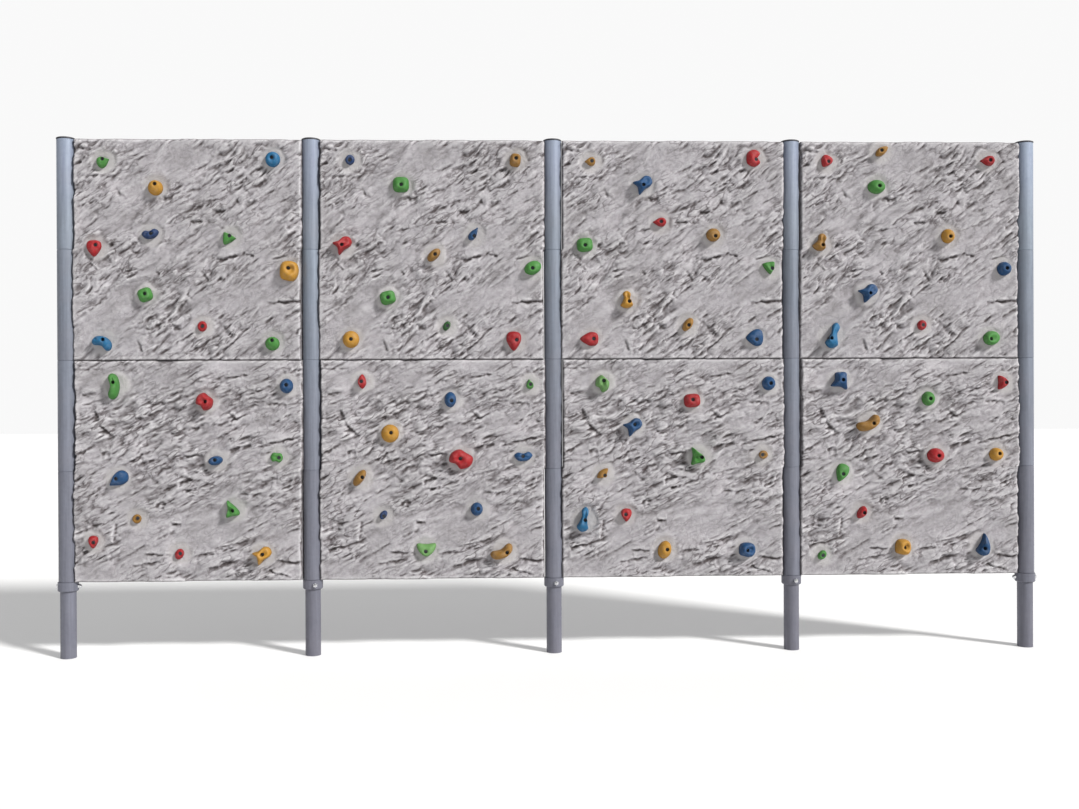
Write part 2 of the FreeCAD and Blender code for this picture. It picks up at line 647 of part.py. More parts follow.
# ---------------------------------------------------------------- holds and their fixings
def make_hold_fixings():
    """A threaded socket and a socket-head bolt at every place in use."""
    rod = bound("Part::Cylinder", "socket_rod", Radius="sizes.insert_radius",
                Height="sizes.insert_length")
    thread = bound("Part::Cylinder", "socket_thread",
                   Radius="sizes.hold_bolt_radius + sizes.thread_clearance",
                   Height="sizes.insert_thread_depth")
    socket = cut("threaded_socket", rod, [thread])

    shank = bound("Part::Cylinder", "hold_shank", Radius="sizes.hold_bolt_radius",
                  Height="sizes.hold_bolt_engagement + sizes.hold_seat_height")
    put(shank, z="0 - sizes.hold_seat_height")
    head = bound("Part::Cylinder", "hold_head", Radius="sizes.hold_bolt_head_radius",
                 Height="sizes.hold_bolt_head_height")
    crown = "(sizes.hold_seat_height + sizes.hold_bolt_head_height)"
    put(head, z=f"0 - {crown}")
    key = hexagon("hold_key", "sizes.hold_bolt_socket_flats", "sizes.hold_bolt_socket_depth")
    put(key, z=f"0 - {crown}")
    bolt = cut("hold_bolt", fuse("hold_bolt_body", [shank, head]), [key])

    for master, node in ((socket, "hold_sockets"), (bolt, "hold_bolts")):
        copies = []
        for (row, bay), holds in HOLDS.items():
            for hold in holds:
                place = hold[0]
                copy = copy_of(master, f"{node}_{row}_{bay}_{place}")
                put(copy, x=place_x(row, bay, place), y=PANEL_FRONT, z=place_z(row, place),
                    turn=-90, axis=(1, 0, 0))
                copies.append(copy)
        keep(group(node, copies), node)


def outline(shape):
    """Unit outline points of a shape, from the table or from a superellipse."""
    if shape not in SUPERELLIPSES:
        return OUTLINES[shape]
    power = 2 / SUPERELLIPSES[shape]
    points = []
    for step in range(12):
        angle = 2 * math.pi * step / 12
        across = math.cos(angle)
        up = math.sin(angle)
        points.append((0.5 * math.copysign(abs(across) ** power, across),
                       0.5 * math.copysign(abs(up) ** power, up)))
    return points


def ring(points, width, height, scale, lift):
    """A closed smooth wire: the outline scaled and lifted off the wall."""
    spline = Part.BSplineCurve()
    vectors = [FreeCAD.Vector(x * width * scale, -lift, z * height * scale) for x, z in points]
    spline.interpolate(vectors, PeriodicFlag=True)
    return Part.Wire([spline.toShape()])


def hold_depth(shape, width, height):
    """How far a hold stands off the wall: small ones are shallow whatever their shape."""
    if max(width, height) < 60:
        return size("hold_depth_small")
    family = next(name for name, shapes in FAMILIES.items() if shape in shapes)
    return size(f"hold_depth_{family}")


def hold_solid(shape, width, height, turn, across, up):
    """A cast hold: rings of one outline drawn in towards the top, drilled for its bolt."""
    points = outline(shape)
    depth = hold_depth(shape, width, height)
    rings = [ring(points, width, height, scale, depth * rise)
             for scale, rise in ((1.0, 0.0), (0.97, 0.35), (0.80, 0.78), (0.48, 1.0))]
    solid = Part.makeLoft(rings, True, False)
    solid.rotate(FreeCAD.Vector(), FreeCAD.Vector(0, -1, 0), turn)
    solid.translate(FreeCAD.Vector(across, 0, up))
    way = FreeCAD.Vector(0, -1, 0)
    clear = size("hold_bolt_radius") + size("hold_bolt_clearance")
    recess = size("hold_bolt_head_radius") + size("hold_recess_clearance")
    seat = size("hold_seat_height")
    drill = Part.makeCylinder(clear, depth * 2, FreeCAD.Vector(0, 1, 0), way)
    counterbore = Part.makeCylinder(recess, depth * 2, FreeCAD.Vector(0, -seat, 0), way)
    return solid.cut(drill.fuse(counterbore))


def socket_point(row, bay, place):
    """The point on the panel's face where a socket opens, from the same sheet values."""
    across, up = PLACES[row][place]
    x = (bay - 3 if across > 0 else bay - 2) * size("post_pitch")
    x += size(f"{row}_{place}_across") + size(f"{row}_drift_{bay}")
    z = size("leg_length") + size("collar_height")
    z += (0 if row == "lower" else 2) * size("sleeve_length")
    z += (0 if up > 0 else 2) * size("sleeve_length")
    z += size(f"{row}_{place}_up")
    return FreeCAD.Vector(x, -size("panel_thickness") / 2, z)


def make_holds():
    """One node for each colour and family.  The shapes are free-form castings, so they are
    lofted here instead of being sketched."""
    for colour in COLOURS:
        for family, shapes in FAMILIES.items():
            solids = []
            for (row, bay), holds in HOLDS.items():
                for place, shape, paint, width, height, turn, across, up in holds:
                    if paint != colour or shape not in shapes:
                        continue
                    solid = hold_solid(shape, width, height, turn, across, up)
                    solid.translate(socket_point(row, bay, place))
                    solids += solid.Solids
            feature = doc.addObject("Part::Feature", f"holds_{colour}_{family}")
            feature.Shape = Part.makeCompound(solids)
            keep(feature, f"holds_{colour}_{family}")


# ---------------------------------------------------------------- assemble, check, export
def build():
    make_posts()
    make_caps()
    make_collars()
    make_collar_fasteners()
    make_knuckles(make_knuckle_masters())
    make_spacers()
    for row in ROWS:
        for bay in BAYS:
            make_panel(row, bay)
    make_reinforcement()
    make_hold_fixings()
    make_holds()
    doc.recompute()


def node_shape(obj):
    """A node's shape in the model's frame, whether it is an object or a link to one."""
    if obj.TypeId == "App::Link":
        return Part.getShape(obj)
    return obj.Shape


def check():
    """Stop on any failed object, and on any sub-part that is empty or not valid."""
    for obj in doc.Objects:
        bad = {"Invalid", "Error"} & set(obj.State)
        if bad:
            raise RuntimeError(f"{obj.Name} failed: {sorted(bad)}")
    for obj in nodes:
        shape = node_shape(obj)
        if shape.isNull() or not shape.isValid() or not shape.Solids:
            raise RuntimeError(f"{obj.Label} has no valid solid")


def export():
    os.makedirs("parts", exist_ok=True)
    for obj in nodes:
        node_shape(obj).exportStep(os.path.join("parts", f"{obj.Label}.step"))


build()
check()
export()
print(f"{len(nodes)} nodes written")
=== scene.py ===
# %% [markdown]
# # A concrete climbing wall on steel posts
# The wall stands on five galvanised posts.  Eight precast slabs hang between them on tube
# sleeves that interleave like the knuckles of a hinge, and coloured resin holds are bolted to
# the slabs.  The frame model has every size and place; this lesson gives each piece its look.

# %% Load the frame
import math
import time

import bpy
import numpy as np
from mathutils import Matrix, Vector


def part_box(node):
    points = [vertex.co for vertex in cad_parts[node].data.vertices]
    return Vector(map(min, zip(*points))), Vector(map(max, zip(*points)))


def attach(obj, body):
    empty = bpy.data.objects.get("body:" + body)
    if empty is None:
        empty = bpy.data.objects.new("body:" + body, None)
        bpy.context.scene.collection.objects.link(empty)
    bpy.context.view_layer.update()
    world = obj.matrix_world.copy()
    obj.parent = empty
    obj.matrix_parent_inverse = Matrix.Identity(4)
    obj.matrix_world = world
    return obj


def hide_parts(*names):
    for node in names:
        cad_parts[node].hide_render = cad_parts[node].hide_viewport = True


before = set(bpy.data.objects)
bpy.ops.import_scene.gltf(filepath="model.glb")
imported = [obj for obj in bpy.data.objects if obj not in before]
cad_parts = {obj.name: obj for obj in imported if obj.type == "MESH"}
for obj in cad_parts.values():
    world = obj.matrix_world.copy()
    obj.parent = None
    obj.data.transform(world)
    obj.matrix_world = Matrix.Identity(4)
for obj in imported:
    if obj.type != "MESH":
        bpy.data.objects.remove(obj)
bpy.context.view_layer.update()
started = time.time()
print("nodes in the frame:", len(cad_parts))

# %% [markdown]
# ## Sizes
# Everything is measured from the frame, so a slab or a hold lands where the frame says.  The
# scene is in metres, but a maker thinks in millimetres, so small sizes are written in mm.

# %% Sizes read from the frame
MM = 0.001
BAYS = (1, 2, 3, 4)
ROWS = ("upper", "lower")
POST_X = [sum(corner.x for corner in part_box(f"post_{post}")) / 2 / MM for post in range(1, 6)]
PITCH = POST_X[1] - POST_X[0]
FACE_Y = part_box("panel_upper_1")[0].y / MM
BACK_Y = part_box("panel_upper_1")[1].y / MM
SLEEVE_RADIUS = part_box("spacer_sleeve_left_top")[1].y / MM
ROW_GAP = (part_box("panel_upper_1")[0].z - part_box("panel_lower_1")[1].z) / MM
ROW_FOOT = {row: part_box(f"panel_{row}_1")[0].z / MM - ROW_GAP / 2 for row in ROWS}
ROW_HEIGHT = ROW_FOOT["upper"] - ROW_FOOT["lower"]
print("pitch", round(PITCH, 1), "row height", round(ROW_HEIGHT, 1), "face at", round(FACE_Y, 1))


# %% [markdown]
# ## Small helpers
# Colours are given as the hex values a paint chart shows.  Blender's shaders want linear
# light, so one function turns them.  One more adds a node of any kind: what its inputs are
# given may be another node, a socket, a colour or a plain number.

# %% Colour and node helpers
NOISE = "ShaderNodeTexNoise"
VORONOI = "ShaderNodeTexVoronoi"
RAMP = "ShaderNodeValToRGB"
MATH = "ShaderNodeMath"
MIX = "ShaderNodeMix"


def linear(hex_colour):
    """An sRGB hex colour as linear RGBA."""
    parts = [int(hex_colour[i:i + 2], 16) / 255 for i in (1, 3, 5)]
    light = [c / 12.92 if c <= 0.04045 else ((c + 0.055) / 1.055) ** 2.4 for c in parts]
    return (*light, 1.0)


def feed(tree, node, given):
    """Give inputs what they take: a node or socket is linked, a colour or number is set."""
    for name, value in given.items():
        if isinstance(value, bpy.types.Node):
            value = value.outputs[0]
        if isinstance(value, bpy.types.NodeSocket):
            tree.links.new(value, node.inputs[name])
        elif isinstance(value, str):
            node.inputs[name].default_value = linear(value)
        else:
            node.inputs[name].default_value = value


def add(tree, kind, given=None, stops=(), **settings):
    """Add a node with its settings and inputs; stops are (position, hex) on a colour ramp."""
    node = tree.nodes.new(kind)
    for name, value in settings.items():
        setattr(node, name, value)
    if stops:
        elements = node.color_ramp.elements
        while len(elements) < len(stops):
            elements.new(0.5)
        for element, (position, hex_colour) in zip(elements, stops):
            element.position = position
            element.color = linear(hex_colour)
    feed(tree, node, given or {})
    return node


def new_material(name, surface):
    """A material with one Principled surface; what is even all over goes on its sockets."""
    material = bpy.data.materials.new(name)
    material.use_nodes = True
    tree = material.node_tree
    tree.nodes.clear()
    shader = add(tree, "ShaderNodeBsdfPrincipled", surface)
    add(tree, "ShaderNodeOutputMaterial", {"Surface": shader})
    return material, tree, shader


def object_point(tree, stretch=(1, 1, 1)):
    """Object coordinates in metres, stretched along the axes."""
    where = add(tree, "ShaderNodeTexCoord").outputs["Object"]
    return add(tree, "ShaderNodeMapping", {"Vector": where, "Scale": stretch})


def per(size_mm):
    """The texture scale that makes features about size_mm across."""
    return 1 / (size_mm * MM)


print("white in linear light:", linear("#FFFFFF"))

# %% Mesh helpers
def mesh_piece(name, points_mm, faces, material, body="wall"):
    """A mesh object from points in mm, placed in its mesh and riding on a body."""
    mesh = bpy.data.meshes.new(name)
    mesh.from_pydata((np.asarray(points_mm) * MM).tolist(), [], faces)
    mesh.materials.append(material)
    mesh.shade_smooth()
    piece = bpy.data.objects.new(name, mesh)
    bpy.context.scene.collection.objects.link(piece)
    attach(piece, body)
    return piece


def store(mesh, name, values):
    """Keep one number per corner point, for the materials to read."""
    layer = mesh.attributes.new(name, "FLOAT", "POINT")
    layer.data.foreach_set("value", np.asarray(values, np.float32).ravel())


# %% [markdown]
# ## Noise for the rock
# The relief is worked out as numbers before there is any mesh.  A lattice hash gives the same
# random value for the same cell each time, so the rock is the same in every run.  Texture
# nodes could make a similar rock, but not one with every crevice where a mould has it.

# %% Lattice noise
def cell_value(i, j, seed):
    """A repeatable random number from 0 to 1 for each lattice cell."""
    i = np.asarray(i, np.int64).astype(np.uint64)
    j = np.asarray(j, np.int64).astype(np.uint64)
    mask = np.uint64(0xFFFFFFFF)
    mixed = (i * np.uint64(374761393) + j * np.uint64(668265263)
             + np.uint64(seed * 974634777 + 12345)) & mask
    mixed = ((mixed ^ (mixed >> np.uint64(13))) * np.uint64(1274126177)) & mask
    mixed ^= mixed >> np.uint64(16)
    return mixed.astype(np.float64) / float(0xFFFFFFFF)


def smooth_noise(x, y, seed):
    """Value noise from -1 to 1 with one random value per unit cell."""
    i = np.floor(x)
    j = np.floor(y)
    u = x - i
    v = y - j
    u = u * u * u * (u * (u * 6 - 15) + 10)
    v = v * v * v * (v * (v * 6 - 15) + 10)
    low = cell_value(i, j, seed) * (1 - u) + cell_value(i + 1, j, seed) * u
    high = cell_value(i, j + 1, seed) * (1 - u) + cell_value(i + 1, j + 1, seed) * u
    return 2 * (low * (1 - v) + high * v) - 1


def layered_noise(x, y, seed, layers=4):
    """Several sizes of noise added, each half as large and half as strong."""
    total = np.zeros_like(x)
    for layer in range(layers):
        scale = 2.0 ** layer
        total += smooth_noise(x * scale + 17.3 * layer, y * scale - 9.1 * layer,
                              seed + layer) / scale
    return total


def cells_around(x, y):
    """The nine lattice cells round each point, with the point's offset from each cell's spot."""
    i0 = np.floor(x)
    j0 = np.floor(y)
    for di in (-1, 0, 1):
        for dj in (-1, 0, 1):
            i = i0 + di
            j = j0 + dj
            yield i, j, x - i - 0.5, y - j - 0.5


def flakes(along, across, length, breadth, seed):
    """Overlapping rock flakes: each is a tilted plate that ends in a steep edge."""
    steepness = 2.2
    lowest = -9.0
    top = np.full(along.shape, lowest)
    for i, j, dx, dy in cells_around(along / length, across / breadth):
        dx = dx - 0.8 * (cell_value(i, j, seed) - 0.5)
        dy = dy - 0.8 * (cell_value(i, j, seed + 1) - 0.5)
        level = cell_value(i, j, seed + 2)
        lean = 0.9 * (cell_value(i, j, seed + 3) - 0.5)
        size = 0.45 + 0.35 * cell_value(i, j, seed + 4)
        beyond = np.maximum(0, np.hypot(dx, dy) - size)
        top = np.maximum(top, level - 0.9 * dy + lean * dx - steepness * beyond)
    return np.clip(top, -0.9, 1.9) - 0.55


def ledges(along, across, spacing, length, seed):
    """Strata: a steep foot, then a gentle fall upwards, broken off here and there."""
    foot = 0.25
    phase = across / spacing + layered_noise(along / length, across / (4 * spacing), seed, 3)
    saw = phase - np.floor(phase)
    rise = np.minimum(saw / foot, (1 - saw) / (1 - foot))
    strength = 0.45 + 1.1 * layered_noise(along / (0.7 * length), across / (1.3 * spacing),
                                          seed + 7, 2)
    return rise * np.clip(strength, 0, 1.2) - 0.3


def chips(along, across, length, breadth, seed, share):
    """Sparse chips: in a share of the cells, a long pit under a steep upper edge."""
    total = np.zeros_like(along)
    for i, j, dx, dy in cells_around(along / length, across / breadth):
        dx = dx - 0.9 * (cell_value(i, j, seed) - 0.5)
        dy = dy - 0.9 * (cell_value(i, j, seed + 1) - 0.5)
        dy = dy - 0.5 * (cell_value(i, j, seed + 3) - 0.5) * dx
        depth = np.clip(share - cell_value(i, j, seed + 2), 0, 0.5) / 0.5
        half = 0.16 + 0.14 * cell_value(i, j, seed + 4)
        half = np.where(dy > 0, half * 0.55, half * 1.3)
        total += depth * np.exp(-(dx / 0.38) ** 2 - (dy / half) ** 2)
    return total


# %% [markdown]
# ## The two moulds
# All upper slabs come from one rubber mould and all lower slabs from another.  A mould's rock
# has strata that rise to the right, smooth plastered patches, and single deep crevices.  The
# crevices are listed one by one, because their places are what makes a mould recognisable.

# %% Mould data
# Crevices: (across, up, length, rise in degrees, depth, breadth), mm from the left post axis
# and the row's foot.
CREVICES = {
    "upper": (
        (275, 1050, 45, 25, 9, 8), (95, 1046, 70, -12, 9, 9), (152, 910, 95, 6, 8, 6),
        (68, 972, 40, 5, 8, 6), (495, 806, 62, -4, 10, 10), (275, 828, 60, -50, 6, 6),
        (110, 775, 85, 28, 7, 6), (145, 688, 50, 42, 7, 5), (342, 584, 28, 10, 9, 10),
        (465, 650, 80, 12, 8, 5), (525, 690, 90, 36, 8, 5), (600, 703, 44, 0, 7, 5),
        (655, 683, 64, 6, 10, 6), (755, 738, 58, -6, 9, 10), (608, 833, 76, 24, 7, 5),
        (690, 870, 90, 30, 6, 5), (868, 884, 96, 36, 9, 6), (908, 778, 64, 18, 9, 12),
        (958, 880, 46, 45, 8, 8), (815, 514, 112, 14, 14, 7), (904, 521, 36, 0, 9, 6),
        (632, 510, 150, 40, 6, 5), (278, 450, 240, 56, 5, 5), (330, 420, 200, 30, 5, 5),
        (140, 268, 135, 39, 9, 6), (125, 338, 130, 8, 5, 6), (148, 462, 48, -42, 8, 6),
        (455, 432, 26, -48, 7, 6), (762, 405, 36, 5, 9, 11), (684, 418, 60, -62, 5, 7),
        (578, 292, 118, 60, 10, 7), (640, 330, 70, 35, 7, 5), (470, 200, 80, 40, 10, 8),
        (430, 165, 60, 20, 9, 9), (500, 190, 40, 80, 9, 7), (546, 172, 36, 10, 10, 14),
        (785, 158, 110, -42, 8, 10), (748, 212, 50, 30, 7, 7), (1080, 290, 150, 3, 14, 6),
        (1112, 236, 90, 26, 8, 6), (1048, 509, 74, 10, 8, 5), (1060, 598, 122, 34, 7, 5),
        (950, 682, 175, 24, 5, 5), (1152, 700, 55, 62, 12, 10), (1150, 1027, 40, 50, 11, 8),
        (950, 400, 145, 33, 5, 5), (372, 70, 60, -62, 7, 9), (400, 45, 70, 30, 8, 7),
        (585, 110, 220, 32, 8, 6), (690, 95, 190, 33, 8, 6), (775, 60, 170, 35, 8, 6),
        (440, 62, 110, 40, 7, 6), (345, 172, 115, 27, 5, 5), (820, 940, 130, 16, 7, 6),
        (760, 965, 120, 22, 7, 5), (930, 935, 90, 30, 8, 6), (1010, 830, 120, 28, 7, 5),
        (1090, 800, 90, 32, 7, 5), (1100, 905, 80, 30, 6, 5), (660, 950, 100, 28, 6, 5),
        (845, 790, 60, -55, 7, 7), (790, 650, 80, -25, 5, 6), (210, 905, 60, 20, 6, 6),
        (300, 940, 80, 25, 6, 5), (865, 230, 120, 28, 5, 5), (1000, 200, 100, 30, 5, 5),
    ),
    "lower": (
        (92, 650, 95, 28, 12, 6), (165, 805, 80, -64, 9, 20), (205, 742, 80, -45, 9, 16),
        (196, 642, 40, 10, 11, 15), (115, 928, 64, 8, 7, 6), (446, 882, 74, 0, 10, 11),
        (660, 992, 38, 5, 9, 8), (482, 955, 44, 12, 8, 6), (540, 930, 66, 24, 9, 6),
        (405, 822, 135, 20, 11, 7), (370, 800, 60, 25, 9, 7), (815, 818, 60, -36, 11, 8),
        (795, 790, 115, 22, 9, 6), (645, 768, 92, 22, 10, 7), (842, 1012, 122, 8, 10, 6),
        (1030, 874, 88, -6, 9, 8), (970, 956, 150, 9, 7, 9), (1058, 800, 125, 30, 8, 6),
        (360, 618, 150, 27, 11, 6), (385, 590, 90, 14, 8, 6), (618, 624, 84, 2, 11, 7),
        (626, 576, 56, 0, 12, 7), (845, 662, 96, 16, 11, 8), (1038, 690, 182, 14, 12, 6),
        (1070, 460, 152, 26, 12, 7), (1105, 530, 95, 14, 9, 6), (582, 498, 62, 18, 11, 7),
        (592, 456, 74, 4, 12, 7), (558, 476, 42, 80, 9, 7), (460, 384, 135, 22, 11, 6),
        (520, 410, 60, 30, 8, 6), (238, 236, 92, 82, 11, 11), (215, 250, 60, 30, 7, 6),
        (126, 163, 78, 8, 13, 9), (112, 308, 60, 10, 9, 16), (390, 92, 112, 9, 12, 7),
        (455, 138, 120, 0, 9, 6), (775, 90, 160, 16, 9, 10), (790, 176, 110, 12, 7, 6),
        (1045, 36, 95, -20, 13, 7), (1092, 98, 125, -5, 9, 10), (930, 270, 140, 28, 8, 5),
        (860, 532, 110, 14, 7, 6), (890, 432, 64, 4, 8, 6), (538, 290, 44, -6, 9, 8),
        (220, 540, 190, 34, 7, 6), (150, 450, 170, 40, 6, 6), (75, 420, 90, 42, 7, 6),
        (110, 1050, 150, 4, 6, 5), (620, 880, 150, 26, 7, 5), (700, 940, 120, 30, 6, 5),
        (1100, 1010, 90, 12, 8, 6), (1130, 1040, 60, 20, 9, 7), (540, 620, 90, 20, 7, 5),
        (740, 560, 120, 20, 7, 5), (985, 560, 80, 30, 7, 6), (760, 720, 90, 24, 7, 6),
        (1000, 640, 90, 20, 7, 5), (320, 430, 150, 32, 6, 5), (300, 300, 90, 35, 6, 6),
        (330, 150, 110, 30, 6, 6), (215, 120, 30, 70, 9, 7), (660, 130, 110, 12, 6, 6),
        (1060, 380, 120, 28, 7, 6), (1120, 255, 80, 20, 8, 7), (690, 480, 110, 18, 6, 6),
        (480, 560, 110, 22, 7, 6), (700, 380, 90, 22, 6, 6), (480, 230, 90, 28, 6, 6),
    ),
}
# Patches of even roughness: (across, up, half length, half height, rise in degrees, roughness).
PATCHES = {
    "upper": ((200, 190, 200, 110, 38, 0.21), (870, 300, 160, 90, 30, 0.21),
              (1050, 395, 120, 62, 32, 0.21), (520, 985, 150, 80, 0, 0.30),
              (300, 700, 120, 60, 32, 0.28), (450, 480, 140, 44, 38, 0.36),
              (670, 620, 90, 30, 30, 0.36), (930, 930, 300, 130, 25, 0.86),
              (700, 80, 300, 90, 25, 0.86), (110, 1030, 130, 60, 0, 0.93),
              (120, 840, 90, 130, 60, 0.86), (470, 190, 110, 80, 30, 1.08),
              (640, 700, 170, 60, 25, 0.93), (120, 400, 90, 130, 0, 0.79)),
    "lower": ((210, 985, 160, 74, 0, 0.21), (250, 500, 110, 70, 35, 0.23),
              (770, 325, 150, 58, 10, 0.21), (600, 205, 190, 50, 8, 0.28),
              (130, 55, 130, 46, 5, 0.21), (1080, 210, 90, 50, 10, 0.25),
              (980, 560, 60, 40, 10, 0.36), (700, 860, 300, 120, 15, 0.86),
              (1020, 480, 170, 90, 20, 0.86), (150, 780, 120, 110, 0, 0.86),
              (560, 600, 160, 100, 10, 0.93), (500, 400, 200, 70, 20, 0.86),
              (120, 230, 100, 110, 0, 0.93), (780, 130, 160, 60, 10, 0.86)),
}
STRATA_RISE = {"upper": 36.0, "lower": 24.0}
MOULD_SEED = {"upper": 40, "lower": 90}
# mm between relief points: fine enough for a chip of stone, under the triangle limit.
GRID_STEP = 3.8
print("crevices:", {row: len(CREVICES[row]) for row in ROWS})


def turned_to(x, z, centre_x, centre_z, degrees):
    """Coordinates along and across a line that rises by degrees through a centre."""
    cosine = math.cos(math.radians(degrees))
    sine = math.sin(math.radians(degrees))
    dx = x - centre_x
    dz = z - centre_z
    return dx * cosine + dz * sine, dz * cosine - dx * sine


# %% [markdown]
# The relief adds up like hand-modelled plaster: slow swells, flakes of two sizes laid along
# the strata, small knobs, broken ledges, chips, and the listed crevices.  A roughness map
# turns them down on the smooth patches.  Positive heights stand out towards the climber.
# Very high and very deep spots are pressed together, as a real slab keeps its thickness.

# %% Work out a mould's relief
def roughness(row, x, z):
    """How rough the rock is at each point: 0.1 smooth, 1.1 broken."""
    rough = 0.60 + 0.40 * layered_noise(x / 170, z / 140, MOULD_SEED[row] + 5, 2)
    for across, up, half_length, half_height, rise, value in PATCHES[row]:
        along, over = turned_to(x, z, across, up, rise)
        near = np.exp(-((along / half_length) ** 2 + (over / half_height) ** 2) ** 1.5)
        rough = rough * (1 - near) + value * near
    return np.clip(rough, 0.1, 1.1)


def cut_crevices(row, x, z, relief, seed):
    """Press each crevice in: a step whose upper side stands out over a groove."""
    shake = 4.0 * layered_noise(x / 30, z / 30, seed, 3)
    swell = np.clip(0.75 + 0.5 * layered_noise(x / 22, z / 22, seed + 2, 2), 0.2, 1.4)
    for across, up, length, rise, depth, breadth in CREVICES[row]:
        along, over = turned_to(x, z, across, up, rise)
        near = (np.abs(along) < length * 0.75) & (np.abs(over) < breadth * 9)
        taper = np.clip(1 - (along[near] / (length * 0.62)) ** 2, 0, 1) ** 0.7 * swell[near]
        off = over[near] + shake[near]
        step = 0.8 * np.tanh(off / 4.0) * np.exp(-np.abs(off) / (3.0 * breadth))
        groove = 0.7 * np.exp(-((off + 0.7 * breadth) / (1.2 * breadth)) ** 2)
        relief[near] += taper * depth * (step - groove)


def rock_relief(row, x, z):
    """Height in mm of a mould's rock at slab coordinates x, z in mm."""
    seed = MOULD_SEED[row]
    rough = roughness(row, x, z)
    broken = rough * np.clip(rough * 1.3, 0, 1)
    bend = 4.0 * layered_noise(x / 50, z / 50, seed + 13, 2)
    along, over = turned_to(x, z, 0, 0, STRATA_RISE[row])
    along = along + bend * 1.5
    over = over + bend + 15 * layered_noise(x / 230, z / 230, seed + 9, 2)

    relief = 5.0 * layered_noise(x / 220, z / 180, seed + 21, 2)
    relief += (0.2 + rough) * 8.0 * layered_noise(along / 110, over / 46, seed + 23, 2)
    relief += rough * 13 * flakes(along, over, 130, 56, seed + 31)
    relief += rough * 7 * flakes(along, over, 64, 30, seed + 41)
    relief += broken * 9 * (np.abs(smooth_noise(along / 62, over / 25, seed + 43)) - 0.35)
    relief += broken * 4 * (np.abs(smooth_noise(along / 30, over / 15, seed + 44)) - 0.35)
    relief += broken * 8 * ledges(along, over, 58, 220, seed + 55)
    relief += broken * 3 * ledges(along, over, 27, 90, seed + 57)
    relief -= broken * 13 * chips(along, over, 64, 30, seed + 81, 0.62)
    relief -= broken * 7 * chips(along, over, 34, 17, seed + 91, 0.55)
    relief += (0.25 + 0.75 * rough) * 0.9 * layered_noise(x / 16, z / 11, seed + 61, 2)
    cut_crevices(row, x, z, relief, seed + 71)

    high, low, squeeze = 5, -12, 0.55
    relief = np.where(relief > high, high + (relief - high) * squeeze, relief)
    relief = np.where(relief < low, low + (relief - low) * squeeze, relief)
    return np.clip(relief - 3.0, -24, 10)


# %% [markdown]
# ## Sockets and holds
# The sockets of all slabs of a row follow one pattern.  From bay to bay the whole pattern
# drifts by some millimetres, and a few slabs use an odd place or two of their own.  A flat
# plastered disc surrounds each socket, so a hold sits tight.

# %% Socket places and the holds on them
# Places are (across, up) in mm: positive from the left axis or the row's foot, negative from
# the right axis or the row's top.
PLACES = {
    "upper": {
        "p1": (188, -108), "p2": (442, -230), "p3": (-192, -98), "p4": (-400, -482),
        "p5": (152, -527), "p6": (-113, 449), "p7": (375, 305), "p8": (-534, 166),
        "p9": (193, 100), "p10": (-193, 95), "x1": (420, -471), "x2": (-593, 517),
        "x3": (531, -409), "x4": (456, -51), "x5": (391, 324), "x6": (369, 284),
    },
    "lower": {
        "q1": (242, -108), "q2": (-514, -204), "q3": (-124, -124), "q4": (396, -326),
        "q5": (-472, -490), "q6": (-163, -481), "q7": (247, 511), "q8": (350, 317),
        "q9": (-385, 352), "q10": (555, 142), "q11": (-244, 135), "y1": (137, 200),
        "y2": (388, -361), "y3": (147, 292), "y4": (145, 104),
    },
}
